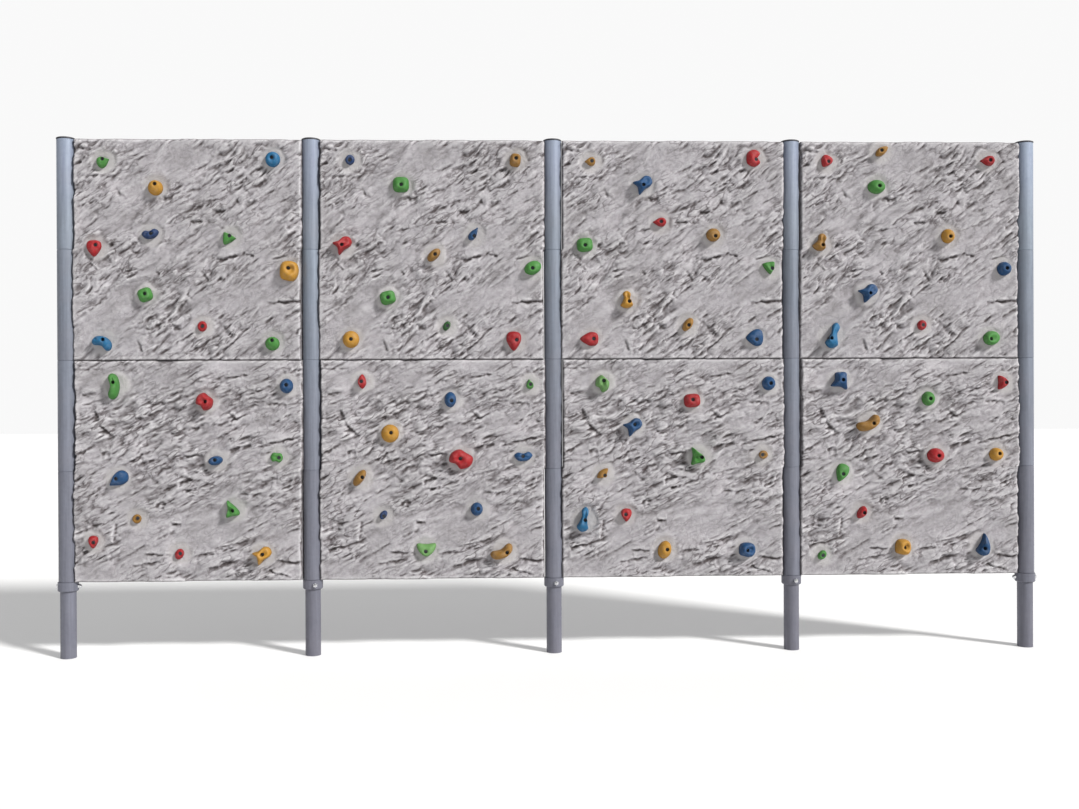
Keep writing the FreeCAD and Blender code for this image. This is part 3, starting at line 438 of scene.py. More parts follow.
# The holds of each slab: (place, shape, colour, width, height, turn, shift across, shift up).
HOLDS = {
    ("upper", 1): (
        ("p1", "drop", "green", 62, 57, 25, -5, -10),
        ("p2", "dome", "amber", 72, 74, 0, -5, -15),
        ("p3", "ring", "azure", 72, 75, 0, 0, -5),
        ("x1", "bow", "navy", 84, 48, 8, -10, 0),
        ("p4", "triangle", "green", 62, 60, 0, -5, -10),
        ("p5", "shield", "red", 70, 81, 0, -15, -14),
        ("p6", "jug", "amber", 90, 98, 0, 0, -10),
        ("x5", "block", "green", 70, 68, 20, -7, -3),
        ("p8", "ring", "red", 46, 52, 0, -6, 0),
        ("p9", "bean", "azure", 98, 58, -25, -15, -12),
        ("p10", "dome", "green", 70, 68, 0, -5, -15),
    ),
    ("upper", 2): (
        ("p1", "ring", "navy", 46, 50, 0, 0, 5),
        ("p2", "block", "green", 80, 77, 0, -4, 5),
        ("p3", "block", "ochre", 54, 66, -8, -4, -5),
        ("p4", "drop", "blue", 75, 38, 55, -4, 15),
        ("x2", "dome", "ochre", 80, 45, 45, -8, 0),
        ("p5", "horn", "red", 96, 92, 0, -4, 0),
        ("p6", "dome", "green", 88, 66, 25, 2, 5),
        ("p7", "block", "green", 76, 68, 15, -4, 1),
        ("p8", "dome", "moss", 50, 34, 60, -5, 0),
        ("p9", "dome", "amber", 82, 85, 0, -4, 0),
        ("p10", "shield", "red", 73, 97, 0, -14, -5),
    ),
    ("upper", 3): (
        ("p1", "drop", "ochre", 54, 46, 180, -8, 0),
        ("p2", "horn", "blue", 98, 94, 0, 0, 5),
        ("p3", "kidney", "red", 86, 68, -90, -10, 10),
        ("x3", "drop", "red", 68, 47, 180, -5, 0),
        ("p4", "dome", "ochre", 70, 66, 0, -5, 10),
        ("p5", "block", "green", 80, 70, 5, 0, 5),
        ("p6", "triangle", "green", 62, 60, -80, -10, 3),
        ("x6", "pin", "amber", 60, 88, 0, -9, 12),
        ("p8", "dome", "ochre", 75, 42, 55, 0, 5),
        ("p9", "shield", "red", 68, 92, -90, -20, 0),
        ("p10", "shield", "blue", 84, 86, -90, -5, 10),
    ),
    ("upper", 4): (
        ("p1", "shield", "red", 56, 62, -30, -6, 5),
        ("x4", "leaf", "ochre", 75, 45, 35, 8, 0),
        ("p2", "dome", "green", 88, 70, 0, -6, 0),
        ("p3", "drop", "red", 72, 53, 180, -6, 0),
        ("p4", "dome", "amber", 64, 72, 0, -2, 5),
        ("p5", "pin", "ochre", 60, 90, -20, -2, 20),
        ("p6", "dome", "blue", 68, 70, 0, -2, 0),
        ("x5", "horn", "blue", 98, 94, 0, 0, 2),
        ("p8", "dome", "red", 46, 52, -20, 0, 0),
        ("p9", "pin", "azure", 62, 132, -15, 24, 15),
        ("p10", "ring", "green", 84, 72, 10, 14, 5),
    ),
    ("lower", 1): (
        ("q1", "bean", "green", 128, 52, -90, -8, -20),
        ("q2", "lobes", "red", 82, 88, 0, -14, 0),
        ("q3", "dome", "blue", 65, 73, 0, -4, -5),
        ("q5", "dome", "blue", 70, 45, 10, -4, -5),
        ("q6", "lobes", "green", 58, 58, 30, -15, 0),
        ("q7", "drop", "blue", 104, 72, 215, 6, -5),
        ("q8", "ring", "ochre", 44, 45, 0, -10, -5),
        ("q9", "wedge", "green", 66, 82, 0, -8, 5),
        ("y1", "shield", "red", 45, 62, 0, -8, 0),
        ("q10", "dome", "red", 54, 42, 65, -10, -5),
        ("q11", "horn", "amber", 94, 90, 0, -8, -10),
    ),
    ("lower", 2): (
        ("q1", "leaf", "red", 72, 46, 90, 2, 0),
        ("q2", "dome", "blue", 58, 76, 0, -8, 5),
        ("q3", "drop", "green", 50, 38, 100, -4, 0),
        ("y2", "dome", "amber", 88, 90, 0, -8, -5),
        ("q5", "lobes", "red", 117, 98, 0, 2, -5),
        ("q6", "bow", "blue", 92, 48, 0, 2, -2),
        ("q7", "dome", "ochre", 92, 45, 55, -18, -5),
        ("q8", "dome", "navy", 48, 33, 55, -4, 5),
        ("q9", "dome", "blue", 60, 66, 0, -8, -5),
        ("q10", "half_moon", "sage", 92, 66, 0, 2, 5),
        ("q11", "bean", "ochre", 118, 56, 207, -23, -5),
    ),
    ("lower", 3): (
        ("q1", "lobes", "sage", 68, 86, 0, -4, -15),
        ("q2", "block", "red", 82, 68, 5, 1, -5),
        ("q3", "dome", "blue", 66, 70, 0, -4, 0),
        ("q4", "horn", "blue", 96, 92, 0, -8, -15),
        ("q5", "wedge", "green", 70, 86, 0, -14, 5),
        ("q6", "ring", "ochre", 46, 42, 0, 8, 0),
        ("q7", "leaf", "ochre", 70, 38, 40, -9, 10),
        ("y3", "pin", "azure", 56, 126, -10, -4, 0),
        ("q8", "shield", "red", 52, 66, 0, 6, -5),
        ("q10", "dome", "amber", 66, 90, -15, -9, -5),
        ("q11", "jug", "blue", 80, 70, 0, 6, 0),
    ),
    ("lower", 4): (
        ("q1", "flare", "blue", 78, 88, 0, -10, -5),
        ("q2", "dome", "green", 64, 72, 0, 0, 0),
        ("q3", "half_moon", "red", 68, 46, 90, -10, 0),
        ("q4", "bean", "ochre", 124, 60, 207, -13, -5),
        ("q5", "dome", "red", 85, 73, 0, -5, 0),
        ("q6", "dome", "amber", 68, 66, 0, -5, -5),
        ("q7", "shield", "green", 62, 92, -20, 0, 5),
        ("q8", "dome", "red", 68, 38, 60, -5, 0),
        ("y4", "dome", "green", 52, 38, 50, 0, 0),
        ("q10", "jug", "amber", 75, 78, 0, 0, 0),
        ("q11", "fin", "blue", 66, 112, 0, 5, 15),
    ),
}
# How far the sockets of each casting sit along from those places, in mm, bay by bay.
DRIFT = {"upper": (12, 10, 6, -10), "lower": (10, 9, 5, 0)}


def socket_on_slab(row, bay, place):
    """A socket's place in mm from its bay's left axis and its row's foot."""
    across, up = PLACES[row][place]
    along = (across if across > 0 else PITCH + across) + DRIFT[row][bay - 1]
    return along, up if up > 0 else ROW_HEIGHT + up


print("holds:", sum(len(holds) for holds in HOLDS.values()))

# %% [markdown]
# ## The concrete
# Precast concrete is dull and slightly warm.  Cement-rich skin is paler on the plastered
# discs; dirt and shadow-loving algae stay in the crevices, which look brown.  The mesh stores
# how deep each point lies below its surroundings, and the material paints the hollows darker
# and browner, for dirt and for painted shade, and the raised spots paler, for wear and for a
# painted highlight.  What is finer than the mesh is left to the shader: hairline cracks along
# the strata, tinted dark as painted shade, chipped stone, split layers and air pits.  Those are
# drawn a little coarser than real cement grain, so that they still show from some metres away.

# %% Concrete material
STRATA_LEAN = 31
STRATA_STRETCH = 3.2
STRATA_WARP = 26
CRACK_WIDTH = 0.045


def concrete_material():
    """Cast concrete: rough, paler on raised spots (wear and painted highlight), brown in hollows
    (dirt and painted shade).
    """
    material, tree, shader = new_material("cast_concrete", {"Roughness": 0.9,
                                                            "Specular IOR Level": 0.25})
    point = object_point(tree)
    wear_and_highlight, dirt_and_shade, rough, disc = (
        add(tree, "ShaderNodeAttribute", attribute_name=name).outputs["Fac"]
        for name in ("wear_and_highlight", "dirt_and_shade", "rough", "disc"))

    # The cement skin: clouds of near greys with a finer mottle.
    clouds = add(tree, NOISE, {"Vector": point, "Scale": per(150), "Detail": 4.0,
                               "Roughness": 0.55})
    mottle = add(tree, NOISE, {"Vector": point, "Scale": per(24), "Detail": 5.0,
                               "Roughness": 0.65})
    skin = add(tree, RAMP, {"Fac": clouds},
               ((0.30, "#9B989A"), (0.55, "#AAA7AA"), (0.75, "#B6B2B5")))
    greys = add(tree, RAMP, {"Fac": mottle}, ((0.32, "#676566"), (0.68, "#98979E")))
    colour = add(tree, MIX, {0: 0.35, 6: skin, 7: greys}, data_type="RGBA",
                 blend_type="SOFT_LIGHT").outputs[2]

    # Hairline cracks: the lines where a noise crosses its middle, stretched along the strata.
    warp = add(tree, NOISE, {"Vector": point, "Scale": per(45), "Detail": 4.0})
    bent = add(tree, "ShaderNodeVectorMath", operation="MULTIPLY_ADD",
               given={0: warp.outputs["Color"], 1: (STRATA_WARP * MM,) * 3, 2: point})
    strata = add(tree, "ShaderNodeMapping", vector_type="TEXTURE",
                 given={"Vector": bent, "Rotation": (0, -math.radians(STRATA_LEAN), 0),
                        "Scale": (STRATA_STRETCH, 1, 1)})
    wander = add(tree, NOISE, {"Vector": strata, "Scale": per(34), "Detail": 1.5,
                               "Roughness": 0.5})
    off = add(tree, MATH, {0: wander, 1: 0.5}, operation="SUBTRACT")
    off = add(tree, MATH, {0: off}, operation="ABSOLUTE")
    cracks = add(tree, RAMP, {"Fac": off}, ((0.0, "#FFFFFF"), (CRACK_WIDTH, "#000000")))
    areas = add(tree, NOISE, {"Vector": point, "Scale": per(70), "Detail": 3.0,
                              "Roughness": 0.55})
    areas = add(tree, RAMP, {"Fac": areas}, ((0.38, "#000000"), (0.56, "#FFFFFF")))
    for share in (areas, rough):
        cracks = add(tree, MATH, {0: cracks, 1: share}, operation="MULTIPLY")

    # Wear with a painted highlight, dirt with painted shade, cracks darkened as painted shade
    # and the plastered discs are laid over the skin in turn.
    # The hollow map darkens and browns the skin: partly dirt, partly painted shade.
    uneven = add(tree, MATH, {0: mottle, 1: 0.45}, operation="ADD")
    dirt_and_shade = add(tree, MATH, {0: dirt_and_shade, 1: uneven}, operation="MULTIPLY")
    dirt_and_shade = add(tree, MATH, {0: dirt_and_shade, 1: 0.85}, operation="MINIMUM")
    # The raised-spot map pales the skin: partly wear, partly a painted highlight.
    wear_and_highlight, crack_painted_shade, disc_tint = (
        add(tree, MATH, {0: part, 1: share}, operation="MULTIPLY")
        for part, share in ((wear_and_highlight, 0.8), (cracks, 0.85), (disc, 0.5)))
    # The dark tint of the crack lines is painted shade in the cracks.
    for share, tint in ((wear_and_highlight, "#D0CED0"), (dirt_and_shade, "#443C3B"), (crack_painted_shade, "#463C3D"),
                        (disc_tint, "#B2AFAD")):
        colour = add(tree, MIX, {0: share, 6: colour, 7: tint}, data_type="RGBA").outputs[2]

    # The height: chipped stone and pits, then splinters and plates where it is rough.
    chipped = add(tree, NOISE, {"Vector": point, "Scale": per(15), "Detail": 6.0,
                                "Roughness": 0.75})
    splinters = add(tree, NOISE, {"Vector": strata, "Scale": per(11), "Detail": 4.0,
                                  "Roughness": 0.7})
    pits = add(tree, VORONOI, {"Vector": point, "Scale": per(12)})
    pits = add(tree, MATH, {0: pits, 1: 0.16}, operation="MINIMUM")
    plates = add(tree, VORONOI, {"Vector": strata, "Scale": per(24)}).outputs["Color"]
    plates = add(tree, "ShaderNodeSeparateColor", {"Color": plates})
    layers = add(tree, MATH, {0: plates, 1: 1.5, 2: splinters}, operation="MULTIPLY_ADD")
    height = chipped
    for part, share in ((pits, 0.8), (layers, rough), (cracks, -0.3)):
        height = add(tree, MATH, {0: part, 1: share, 2: height}, operation="MULTIPLY_ADD")
    relief = add(tree, "ShaderNodeBump", {"Height": height, "Strength": 1.0,
                                          "Distance": 7 * MM})
    feed(tree, shader, {"Base Color": colour, "Normal": relief})
    return material


CONCRETE = concrete_material()
print("concrete has", len(CONCRETE.node_tree.nodes), "nodes")


# %% [markdown]
# ## The slabs
# A slab is one closed mesh: a relief grid in front, side walls round it and a flat back.  Its
# own sleeve grips it low on the left and high on the right; on the other halves it stands back
# from the neighbour's sleeve.  The edges are a little wavy, as a torn mould lip leaves them.
# A displacement modifier could push out a plain box as well, but a height worked out as
# numbers also tells the material where to paint dirt with shade and wear with highlight.

# %% The outline of a slab
# In mm: how far a slab runs into its own sleeve, its gap to the neighbour's sleeve, its share
# of the joint between the rows, and the roundings of its front and back edges.
GRIP = 4.5
SIDE_GAP = 3.0
SEAM = 1.0
EDGE_ROUND = 9.0
BACK_CHAMFER = 4.0
# Each row's torn edges: the seed, and how ragged the left and the right one are.
TORN = {"upper": (7, 3.0, 4.0), "lower": (8, 3.0, 9.0)}


def slab_edges(row, z):
    """Left and right edges of a slab at each height, in mm from the bay's left axis."""
    grip = SLEEVE_RADIUS - GRIP
    clear = SLEEVE_RADIUS + SIDE_GAP
    upper_half = 1 / (1 + np.exp(-(z - ROW_HEIGHT / 2) / 1.5))
    left = grip + (clear - grip) * upper_half
    right = PITCH - clear + (clear - grip) * upper_half
    return left, right


def torn_edges(row, z):
    """How far the front of each side edge falls short of its cast back, left and right."""
    seed, ragged_left, ragged_right = TORN[row]
    left = ragged_left * np.abs(layered_noise(z / 60, z * 0 + 1.5, seed, 3))
    right = ragged_right * np.abs(layered_noise(z / 75, z * 0 + 7.5, seed + 3, 3))
    return left, right


def slab_grid(row):
    """The grid of one slab in mm, as x with torn edges, x with cast edges, and z."""
    z_line = np.linspace(SEAM, ROW_HEIGHT - SEAM, int((ROW_HEIGHT - 2 * SEAM) / GRID_STEP) + 1)
    share = np.linspace(0, 1, int((PITCH - 2 * SLEEVE_RADIUS) / GRID_STEP) + 1)
    left, right = slab_edges(row, z_line)
    torn_left, torn_right = torn_edges(row, z_line)
    x = left[:, None] + (right - left)[:, None] * share
    x = x + torn_left[:, None] * (1 - share) ** 12 - torn_right[:, None] * share ** 12
    x_cast = x.copy()
    x_cast[:, 0] = left
    x_cast[:, -1] = right
    return x, x_cast, np.repeat(z_line[:, None], len(share), axis=1)


print("relief points on a slab:", slab_grid("upper")[0].shape)


# %% [markdown]
# The plaster discs, the dirt with painted shade and the wear with painted highlight are maps
# over the same grid.  A point that lies below the average of its surroundings is painted darker
# and browner, for dirt and for shade, and an edge that stands out is painted paler, for wear and
# for a highlight, so both come from a blurred copy of the relief.

# %% Discs, painted shade and wear
DISC_RADIUS = 46
DISC_GROWTH = 0.16
DISC_LIP = 5.0


def plastered_discs(row, bay, x, z):
    """Where a slab is plastered flat round its sockets: 1 on a disc, 0 off it."""
    disc = np.zeros_like(x)
    wobble = 6 * smooth_noise(x / 40, z / 40, 3)
    for place, _, _, width, height, _, shift_x, shift_z in HOLDS[row, bay]:
        across, up = socket_on_slab(row, bay, place)
        spread = DISC_RADIUS + DISC_GROWTH * max(width, height)
        far = np.hypot(x - across - shift_x * 0.5, z - up - shift_z * 0.5) + wobble
        disc = np.maximum(disc, 1 / (1 + np.exp((far - spread) / DISC_LIP)))
    return disc


def soften(values, reach):
    """A box blur over a grid, by differences of running sums."""
    for axis in (0, 1):
        padded = np.pad(values, [(reach + 1, reach) if a == axis else (0, 0) for a in (0, 1)],
                        mode="edge")
        sums = np.cumsum(padded, axis=axis)
        ahead = np.take(sums, range(2 * reach + 1, sums.shape[axis]), axis=axis)
        behind = np.take(sums, range(0, sums.shape[axis] - 2 * reach - 1), axis=axis)
        values = (ahead - behind) / (2 * reach + 1)
    return values


def relief_shade_and_wear(relief):
    """Painted shade with dirt, painted highlight with wear: from how far each point stands off
    its surroundings.
    """
    nearby = soften(soften(relief, 2), 2) - relief
    around = soften(soften(relief, 7), 7) - relief
    # Hollows are painted darker: partly dirt, partly painted shade.
    dirt_and_shade = np.clip(0.8 * np.clip(nearby / 5, 0, 1) + 0.4 * np.clip(around / 12, 0, 1), 0, 1)
    # Raised spots are painted paler: partly wear, partly a painted highlight.
    wear_and_highlight = 0.7 * np.clip(-nearby / 4, 0, 1) + 0.3 * np.clip(-around / 10, 0, 1)
    return dirt_and_shade, wear_and_highlight


# %% Build the slabs
def closed_slab(front, cast, middle):
    """Add side walls and a back to a grid of points: all points, the faces, the rim's length."""
    rows, columns = front.shape[:2]
    rim = ([(0, c) for c in range(columns)] + [(r, columns - 1) for r in range(1, rows)]
           + [(rows - 1, c) for c in range(columns - 2, -1, -1)]
           + [(r, 0) for r in range(rows - 2, 0, -1)])
    rim_index = np.array([r * columns + c for r, c in rim])
    cast_rim = cast.reshape(-1, 3)[rim_index]
    walls = [cast_rim + (0, y, 0) for y in (FACE_Y * 0.5, BACK_Y - BACK_CHAMFER, BACK_Y)]
    walls[2] = middle + (walls[2] - middle) * (1 - 2 * BACK_CHAMFER / PITCH)

    grid = np.arange(rows * columns).reshape(rows, columns)
    faces = np.stack([grid[:-1, :-1], grid[:-1, 1:], grid[1:, 1:], grid[1:, :-1]],
                     -1).reshape(-1, 4).tolist()
    count = len(rim)
    rings = [rim_index] + [rows * columns + count * k + np.arange(count) for k in range(3)]
    for outer, inner in zip(rings, rings[1:]):
        for k in range(count):
            after = (k + 1) % count
            faces.append([outer[after], outer[k], inner[k], inner[after]])
    faces.append(rings[3][::-1].tolist())
    return np.concatenate([front.reshape(-1, 3)] + walls), faces, count


def slab_piece(row, bay):
    """One slab with its mould's relief, its own discs and its closed sides and back."""
    x, x_cast, z = slab_grid(row)
    disc = plastered_discs(row, bay, x, z)
    relief = rock_relief(row, x, z) * (1 - disc) + (0.4 * smooth_noise(x / 18, z / 18, 5)) * disc
    border = np.minimum.reduce([x - x[:, :1], x[:, -1:] - x, z - SEAM, ROW_HEIGHT - SEAM - z])
    relief -= EDGE_ROUND * np.clip(1 - border / EDGE_ROUND, 0, 1) ** 2

    x0 = POST_X[bay - 1]
    z0 = ROW_FOOT[row]
    points, faces, count = closed_slab(
        np.stack([x + x0, FACE_Y - relief, z + z0], -1),
        np.stack([x_cast + x0, np.zeros_like(x), z + z0], -1),
        np.array([x0 + PITCH / 2, BACK_Y, z0 + ROW_HEIGHT / 2]))
    slab = mesh_piece(f"slab_{row}_{bay}", points, faces, CONCRETE)

    # Hollows get dirt with painted shade, raised spots wear with painted highlight, the sides a
    # touch of the shade.
    dirt_and_shade, wear_and_highlight = relief_shade_and_wear(relief)
    rough = roughness(row, x, z) * (1 - disc)
    on_walls = {"dirt_and_shade": 0.15, "wear_and_highlight": 0.0, "disc": 0.0, "rough": 0.5}
    for name, values in (("dirt_and_shade", dirt_and_shade), ("wear_and_highlight", wear_and_highlight), ("disc", disc), ("rough", rough)):
        store(slab.data, name, np.append(values.ravel(), np.full(3 * count, on_walls[name])))
    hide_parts(f"panel_{row}_{bay}")
    return slab


for row in ROWS:
    for bay in BAYS:
        slab = slab_piece(row, bay)
print("slab faces", len(slab.data.polygons), "after", round(time.time() - started, 1), "s")


# %% [markdown]
# ## The resin holds
# A hold is cast in a silicone mould: it has a smooth outline, a domed or hollowed top and a
# recess for its bolt.  Each is drawn as rings from the outline in to the bolt, so the recess
# is round and crisp and the outside follows the shape.  Dents make pockets, dishes and saddles.
# Sculpting each hold by hand would look as good, but eighty-eight of them follow a few rules.

# %% Hold shapes
# Outlines in a unit box, x to the right and z up.
OUTLINES = {
    "shield": ((-0.42, 0.40), (0, 0.50), (0.42, 0.40), (0.50, 0.05), (0.24, -0.34), (0, -0.50),
               (-0.24, -0.34), (-0.50, 0.05)),
    "triangle": ((-0.42, 0.50), (0.08, 0.32), (0.48, 0.04), (0.46, -0.06), (0.08, -0.32),
                 (-0.42, -0.50), (-0.50, 0)),
    "drop": ((-0.50, 0), (-0.32, 0.42), (0.04, 0.42), (0.36, 0.14), (0.50, 0), (0.36, -0.16),
             (0, -0.45), (-0.34, -0.42)),
    "leaf": ((-0.50, 0), (-0.16, 0.44), (0.24, 0.36), (0.50, 0), (0.20, -0.36), (-0.20, -0.42)),
    "half_moon": ((-0.50, 0.46), (0, 0.44), (0.50, 0.46), (0.40, -0.12), (0, -0.50),
                  (-0.40, -0.12)),
    "kidney": ((0, 0.30), (0.28, 0.50), (0.50, 0.10), (0.34, -0.40), (0, -0.50), (-0.34, -0.40),
               (-0.50, 0.10), (-0.28, 0.50)),
    "bow": ((-0.50, 0.10), (-0.28, 0.42), (0, 0.30), (0.30, 0.48), (0.50, 0.10), (0.30, -0.36),
            (0, -0.50), (-0.30, -0.40)),
    "horn": ((0.50, 0.20), (0.36, 0.46), (0.08, 0.48), (-0.18, 0.26), (-0.50, 0.14),
             (-0.26, -0.08), (-0.16, -0.50), (0.12, -0.22), (0.40, -0.04)),
    "pin": ((0, 0.50), (0.30, 0.36), (0.22, 0.10), (0.36, -0.14), (0.50, -0.36), (0, -0.50),
            (-0.50, -0.36), (-0.36, -0.14), (-0.22, 0.10), (-0.30, 0.36)),
    "bean": ((-0.50, -0.22), (-0.38, 0.28), (0, 0.50), (0.38, 0.28), (0.50, -0.22), (0.36, -0.50),
             (0, -0.32), (-0.36, -0.50)),
    "fin": ((0.14, 0.50), (0.38, 0.26), (0.50, -0.12), (0.34, -0.44), (-0.06, -0.50),
            (-0.50, -0.28), (-0.30, -0.08), (-0.06, 0.18)),
    "flare": ((-0.22, 0.44), (0.12, 0.50), (0.46, 0.46), (0.44, 0), (0.50, -0.50), (0.10, -0.34),
              (-0.50, -0.30), (-0.26, 0.05)),
    "jug": ((-0.50, -0.30), (-0.44, 0.34), (-0.06, 0.50), (0.40, 0.36), (0.50, -0.10),
            (0.26, -0.50), (-0.20, -0.48)),
    "wedge": ((-0.42, 0.50), (-0.12, 0.34), (0.26, 0.08), (0.50, -0.20), (0.42, -0.38),
              (0, -0.44), (-0.46, -0.50), (-0.36, 0)),
    "lobes": ((-0.42, 0.30), (-0.08, 0.50), (0.22, 0.32), (0.50, 0.08), (0.40, -0.34), (0, -0.50),
              (-0.22, -0.24), (-0.50, -0.10)),
}
SUPERELLIPSES = {"dome": 2.0, "ring": 2.0, "block": 3.2}
# Dents in unit coordinates: (x, z, radius, share of the hold's depth).  A negative share is a
# swelling.
DENTS = {
    "ring": ((0, 0, 0.24, 0.28),),
    "block": ((0.05, 0.05, 0.26, 0.14), (-0.35, -0.35, 0.25, 0.10)),
    "shield": ((-0.26, 0.20, 0.18, 0.10), (0.26, 0.20, 0.18, 0.10), (0, -0.2, 0.14, -0.08)),
    "triangle": ((-0.15, 0, 0.22, 0.16),),
    "drop": ((0.30, 0, 0.20, -0.10),),
    "half_moon": ((0, 0.52, 0.30, 0.22),),
    "kidney": ((0, 0.34, 0.20, 0.34), (0, -0.25, 0.25, -0.08)),
    "bow": ((0, 0.30, 0.16, 0.25), (-0.16, -0.05, 0.10, 0.12), (0.16, -0.05, 0.10, 0.12)),
    "horn": ((0.20, 0.20, 0.22, 0.38), (-0.42, -0.30, 0.26, 0.45), (-0.10, 0.02, 0.12, -0.12)),
    "pin": ((0, 0.12, 0.20, 0.34), (0, 0.34, 0.10, 0.15)),
    "bean": ((0, -0.40, 0.26, 0.40), (-0.28, 0.06, 0.10, 0.12)),
    "fin": ((-0.30, 0.1, 0.25, 0.30), (0.10, 0.30, 0.12, 0.15)),
    "flare": ((0.30, 0.30, 0.14, 0.25), (-0.05, -0.45, 0.22, 0.35), (0.34, -0.30, 0.14, 0.25)),
    "jug": ((0.16, 0.06, 0.22, 0.48), (-0.34, -0.40, 0.24, 0.25)),
    "wedge": ((-0.12, -0.06, 0.20, 0.42),),
    "lobes": ((-0.02, 0.02, 0.16, 0.22), (-0.30, 0.16, 0.12, -0.10), (0.28, -0.1, 0.14, -0.12)),
}
FAMILIES = {
    "round": ("dome", "block", "ring"),
    "edge": ("shield", "triangle", "drop", "leaf", "half_moon", "kidney", "bow"),
    "jug": ("horn", "pin", "bean", "fin", "flare", "jug", "wedge", "lobes"),
}
# How far a hold stands out in mm, and how boxy its side walls are.
DEPTHS = {"small": 24.0, "edge": 32.0, "round": 42.0, "jug": 54.0}
FULLNESS = {"round": 2.1, "edge": 2.5, "jug": 2.6}
SMALL_LIMIT = 60
RING_POINTS = 72
TOP_RINGS = 20
RECESS_RADIUS = 8.8
BOLT_HOLE_RADIUS = 5.5
SEAT_HEIGHT = 12.0
RECESS_LIP = 1.2
FOOT_DEPTH = 1.0
# Grime and painted shade in the bolt recess and along the foot of the hold, ring by ring from
# the foot inwards.
RING_GRIME_AND_SHADE = [0.6, 0.6, 0.75, 0.88] + [1.0] * (TOP_RINGS - 3) + [0.4, 0.12, 0.12, 0.12]
print("hold shapes:", len(OUTLINES) + len(SUPERELLIPSES))


def smooth_outline(shape, count):
    """A closed smooth curve through a shape's outline points, anticlockwise."""
    if shape in SUPERELLIPSES:
        power = 2 / SUPERELLIPSES[shape]
        angle = np.linspace(0, 2 * math.pi, count, endpoint=False)
        cosine = np.cos(angle)
        sine = np.sin(angle)
        return np.stack([0.5 * np.sign(cosine) * np.abs(cosine) ** power,
                         0.5 * np.sign(sine) * np.abs(sine) ** power], -1)
    knots = np.array(OUTLINES[shape])
    x, z = knots.T
    if np.sum(x * np.roll(z, -1) - z * np.roll(x, -1)) < 0:
        knots = knots[::-1]
    place = np.linspace(0, len(knots), count, endpoint=False)
    index = place.astype(int)
    t = (place - index)[:, None]
    before, here, after, beyond = (knots[(index + k) % len(knots)] for k in (-1, 0, 1, 2))
    return 0.5 * (2 * here + (after - before) * t
                  + (2 * before - 5 * here + 4 * after - beyond) * t ** 2
                  + (3 * here - before - 3 * after + beyond) * t ** 3)


def family_of(shape):
    """The family that a shape belongs to: round, edge or jug."""
    return next(name for name, shapes in FAMILIES.items() if shape in shapes)


def hold_mesh(hold, seed):
    """Rings of points (across, height, up) in mm from the bolt's axis, and their faces."""
    _, shape, _, width, height, turn, shift_x, shift_z = hold
    depth = DEPTHS["small" if max(width, height) < SMALL_LIMIT else family_of(shape)]
    cosine = math.cos(math.radians(turn))
    sine = math.sin(math.radians(turn))
    size = np.array([width, height])

    def to_wall(unit):
        flat = unit * size
        return np.stack([flat[:, 0] * cosine - flat[:, 1] * sine + shift_x,
                         flat[:, 0] * sine + flat[:, 1] * cosine + shift_z], -1)

    def to_unit(flat):
        dx = flat[:, 0] - shift_x
        dz = flat[:, 1] - shift_z
        return np.stack([dx * cosine + dz * sine, dz * cosine - dx * sine], -1) / size

    rim = to_wall(smooth_outline(shape, RING_POINTS))
    angle = np.arctan2(rim[:, 1], rim[:, 0])
    circle = np.stack([np.cos(angle), np.sin(angle)], -1)
    fullness = FULLNESS[family_of(shape)]

    def height_at(flat, t):
        unit = to_unit(flat)
        rise = np.clip(1 - t ** fullness, 0, 1) ** 0.5
        lean = 1 + 0.16 * (cell_value(seed, 1, 4) - 0.5) * unit[:, 0] * 2 - 0.12 * unit[:, 1]
        for x, z, radius, share in DENTS.get(shape, ()):
            rise = rise - share * rise * np.exp(-((unit[:, 0] - x) ** 2
                                                  + (unit[:, 1] - z) ** 2) / radius ** 2)
        funnel = 2.5 * np.exp(-(np.hypot(*flat.T) / 13.0) ** 4)
        grain = 0.7 * smooth_noise(flat[:, 0] / 11 + seed, flat[:, 1] / 11, 2)
        return np.maximum(rise * lean * depth + (grain - funnel) * rise, 0)

    level = np.ones(RING_POINTS)
    rings = [(rim * 0.999, level * -FOOT_DEPTH)]
    for step in range(TOP_RINGS):
        t = 1 - (step / (TOP_RINGS - 1)) ** 1.7
        flat = circle * (RECESS_RADIUS + 1.0) * (1 - t) + rim * t
        rings.append((flat, height_at(flat, level * t)))
    rings += [(circle * RECESS_RADIUS, rings[-1][1] - RECESS_LIP),
              (circle * RECESS_RADIUS, level * SEAT_HEIGHT),
              (circle * BOLT_HOLE_RADIUS, level * SEAT_HEIGHT),
              (circle * BOLT_HOLE_RADIUS, level * -FOOT_DEPTH)]
    points = np.concatenate([np.stack([flat[:, 0], -out, flat[:, 1]], -1) for flat, out in rings])
    faces = []
    count = len(rings)
    for a in range(count):
        b = (a + 1) % count
        for k in range(RING_POINTS):
            after = (k + 1) % RING_POINTS
            faces.append([a * RING_POINTS + k, b * RING_POINTS + k,
                          b * RING_POINTS + after, a * RING_POINTS + after])
    return points, faces


# %% [markdown]
# ## Sand-filled resin
# Hold resin is polyester filled with quartz sand, so it is matt with a fine grit that grips
# the fingers.  Each hold was cast from its own pot of pigment, so the colour is stored with
# the mesh and varies a little.  Patches are rubbed paler by shoes and chalk.  Real grit is
# half a millimetre across; here it is drawn at about 1.5 mm, so that a little of it shows.
# The stored colour also holds painted shade: darker in the bolt recess and along the foot.

# %% Hold materials
PAINTS = {
    "red": ("red", "#93141A"), "blue": ("blue", "#0D3F69"), "azure": ("blue", "#175F88"),
    "navy": ("blue", "#153058"), "green": ("green", "#3E7A34"), "moss": ("green", "#2A552A"),
    "sage": ("green", "#5F8A4E"), "amber": ("yellow", "#A97B28"), "ochre": ("yellow", "#8B652A"),
}


